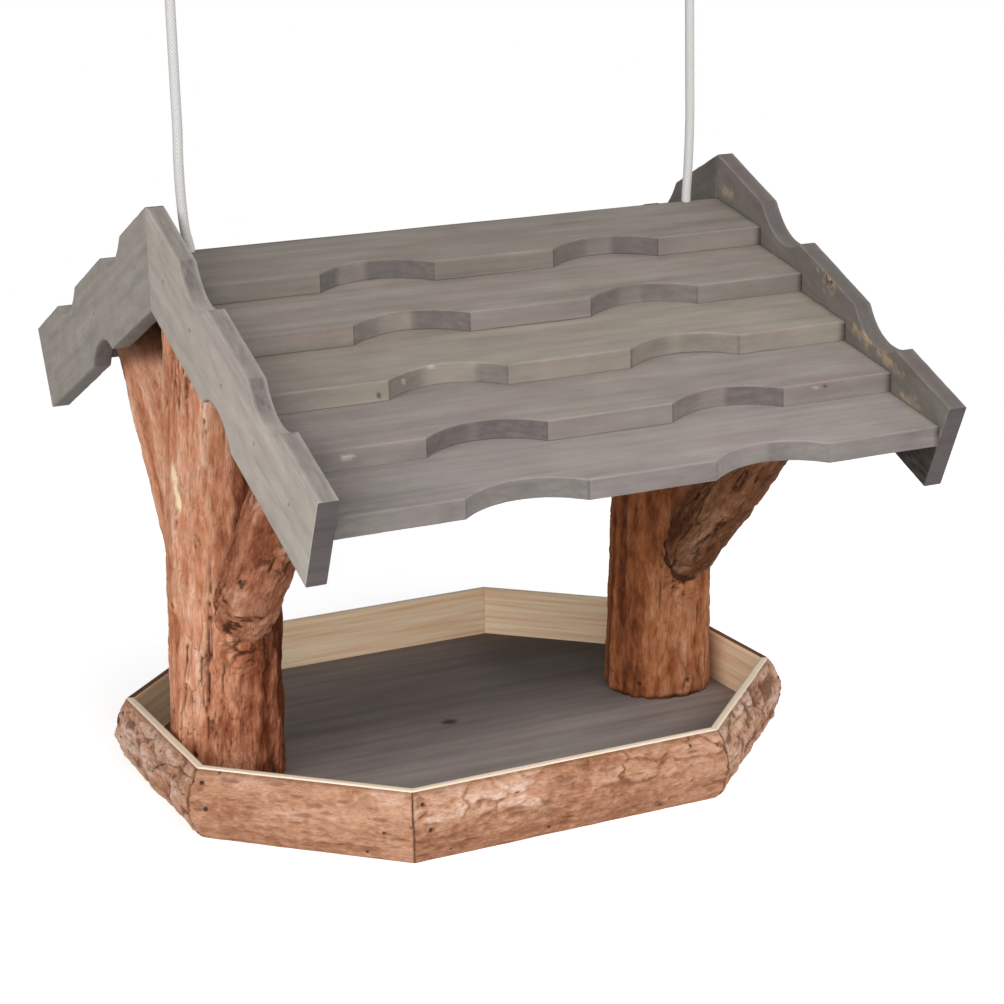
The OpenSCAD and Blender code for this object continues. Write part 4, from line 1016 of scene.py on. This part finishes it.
def camera_sees(tree):
    """One where the camera looks straight at the white, in a mirror or through glass."""
    rays = add(tree, "ShaderNodeLightPath").node.outputs
    first = add(tree, "ShaderNodeMath", {0: rays["Is Camera Ray"], 1: rays["Is Glossy Ray"]},
                operation="MAXIMUM")
    return add(tree, "ShaderNodeMath", {0: first, 1: rays["Is Transmission Ray"]}, operation="MAXIMUM")


floor_mesh = bpy.data.meshes.new("studio_floor")
floor_edge = [(FLOOR_RADIUS * math.cos(a), FLOOR_RADIUS * math.sin(a), 0)
              for a in np.linspace(0, 2 * math.pi, FLOOR_SIDES, endpoint=False)]
floor_mesh.from_pydata(floor_edge, [], [list(range(FLOOR_SIDES))])
studio_floor = bpy.data.objects.new("studio_floor", floor_mesh)
bpy.context.scene.collection.objects.link(studio_floor)
studio_floor.location.z = -FLOOR_DROP * MM
floor_paper, tree, shader = new_material("matt_white_paper", 0.9, 0.1)
shader.inputs["Base Color"].default_value = colour("#f2f2f2")
glow = add(tree, "ShaderNodeEmission", {"Color": (1, 1, 1, 1), "Strength": FLOOR_GLOW})
seen = add(tree, "ShaderNodeMixShader", {0: camera_sees(tree), 2: glow})
both = add(tree, "ShaderNodeAddShader", {0: shader.outputs[0], 1: seen})
tree.links.new(both, tree.nodes["Material Output"].inputs["Surface"])
floor_mesh.materials.append(floor_paper)

world = bpy.data.worlds.new("studio_white")
bpy.context.scene.world = world
world.use_nodes = True
tree = world.node_tree
level = add(tree, "ShaderNodeMapRange", {"Value": camera_sees(tree), "To Min": AMBIENT, "To Max": 1.0})
tree.links.new(level, tree.nodes["Background"].inputs["Strength"])
tree.nodes["Background"].inputs["Color"].default_value = (1, 1, 1, 1)
for name, (place, power) in LAMPS.items():
    data = bpy.data.lights.new(name, "AREA")
    data.size, data.energy = LAMP_SIZE, power
    lamp = bpy.data.objects.new(name, data)
    bpy.context.scene.collection.objects.link(lamp)
    lamp.location = place
    lamp.rotation_euler = (Vector(AIM) - Vector(place)).to_track_quat("-Z", "Y").to_euler()

# Camera: the place, turn and lens worked out from the roof's and the tray's edges in the photograph. The
# focal length and the height of the picture's axis are in its pixels.
CAMERA_AT = (-0.6196, -1.3723, 0.5844)
AZIMUTH, ELEVATION, ROLL = (math.radians(v) for v in (-25.64, 15.61, -1.36))
FOCAL_PX, IMAGE_PX, AXIS_PY = 2450.0, 1004.0, 500.0
SENSOR_MM = 36.0
back = Vector((math.sin(AZIMUTH) * math.cos(ELEVATION), -math.cos(AZIMUTH) * math.cos(ELEVATION),
               math.sin(ELEVATION)))
level_right = Vector((0, 0, 1)).cross(back).normalized()
level_up = back.cross(level_right)
right = level_right * math.cos(ROLL) + level_up * math.sin(ROLL)
up = level_up * math.cos(ROLL) - level_right * math.sin(ROLL)
lens = bpy.data.cameras.new("photo_camera")
lens.sensor_width = SENSOR_MM
lens.lens = SENSOR_MM * FOCAL_PX / IMAGE_PX
lens.shift_y = (AXIS_PY - IMAGE_PX / 2) / IMAGE_PX
camera = bpy.data.objects.new("photo_camera", lens)
bpy.context.scene.collection.objects.link(camera)
camera.matrix_world = Matrix(((right.x, up.x, back.x, CAMERA_AT[0]), (right.y, up.y, back.y, CAMERA_AT[1]),
                              (right.z, up.z, back.z, CAMERA_AT[2]), (0, 0, 0, 1)))
bpy.context.scene.camera = camera
bpy.context.scene.view_settings.view_transform = "Standard"
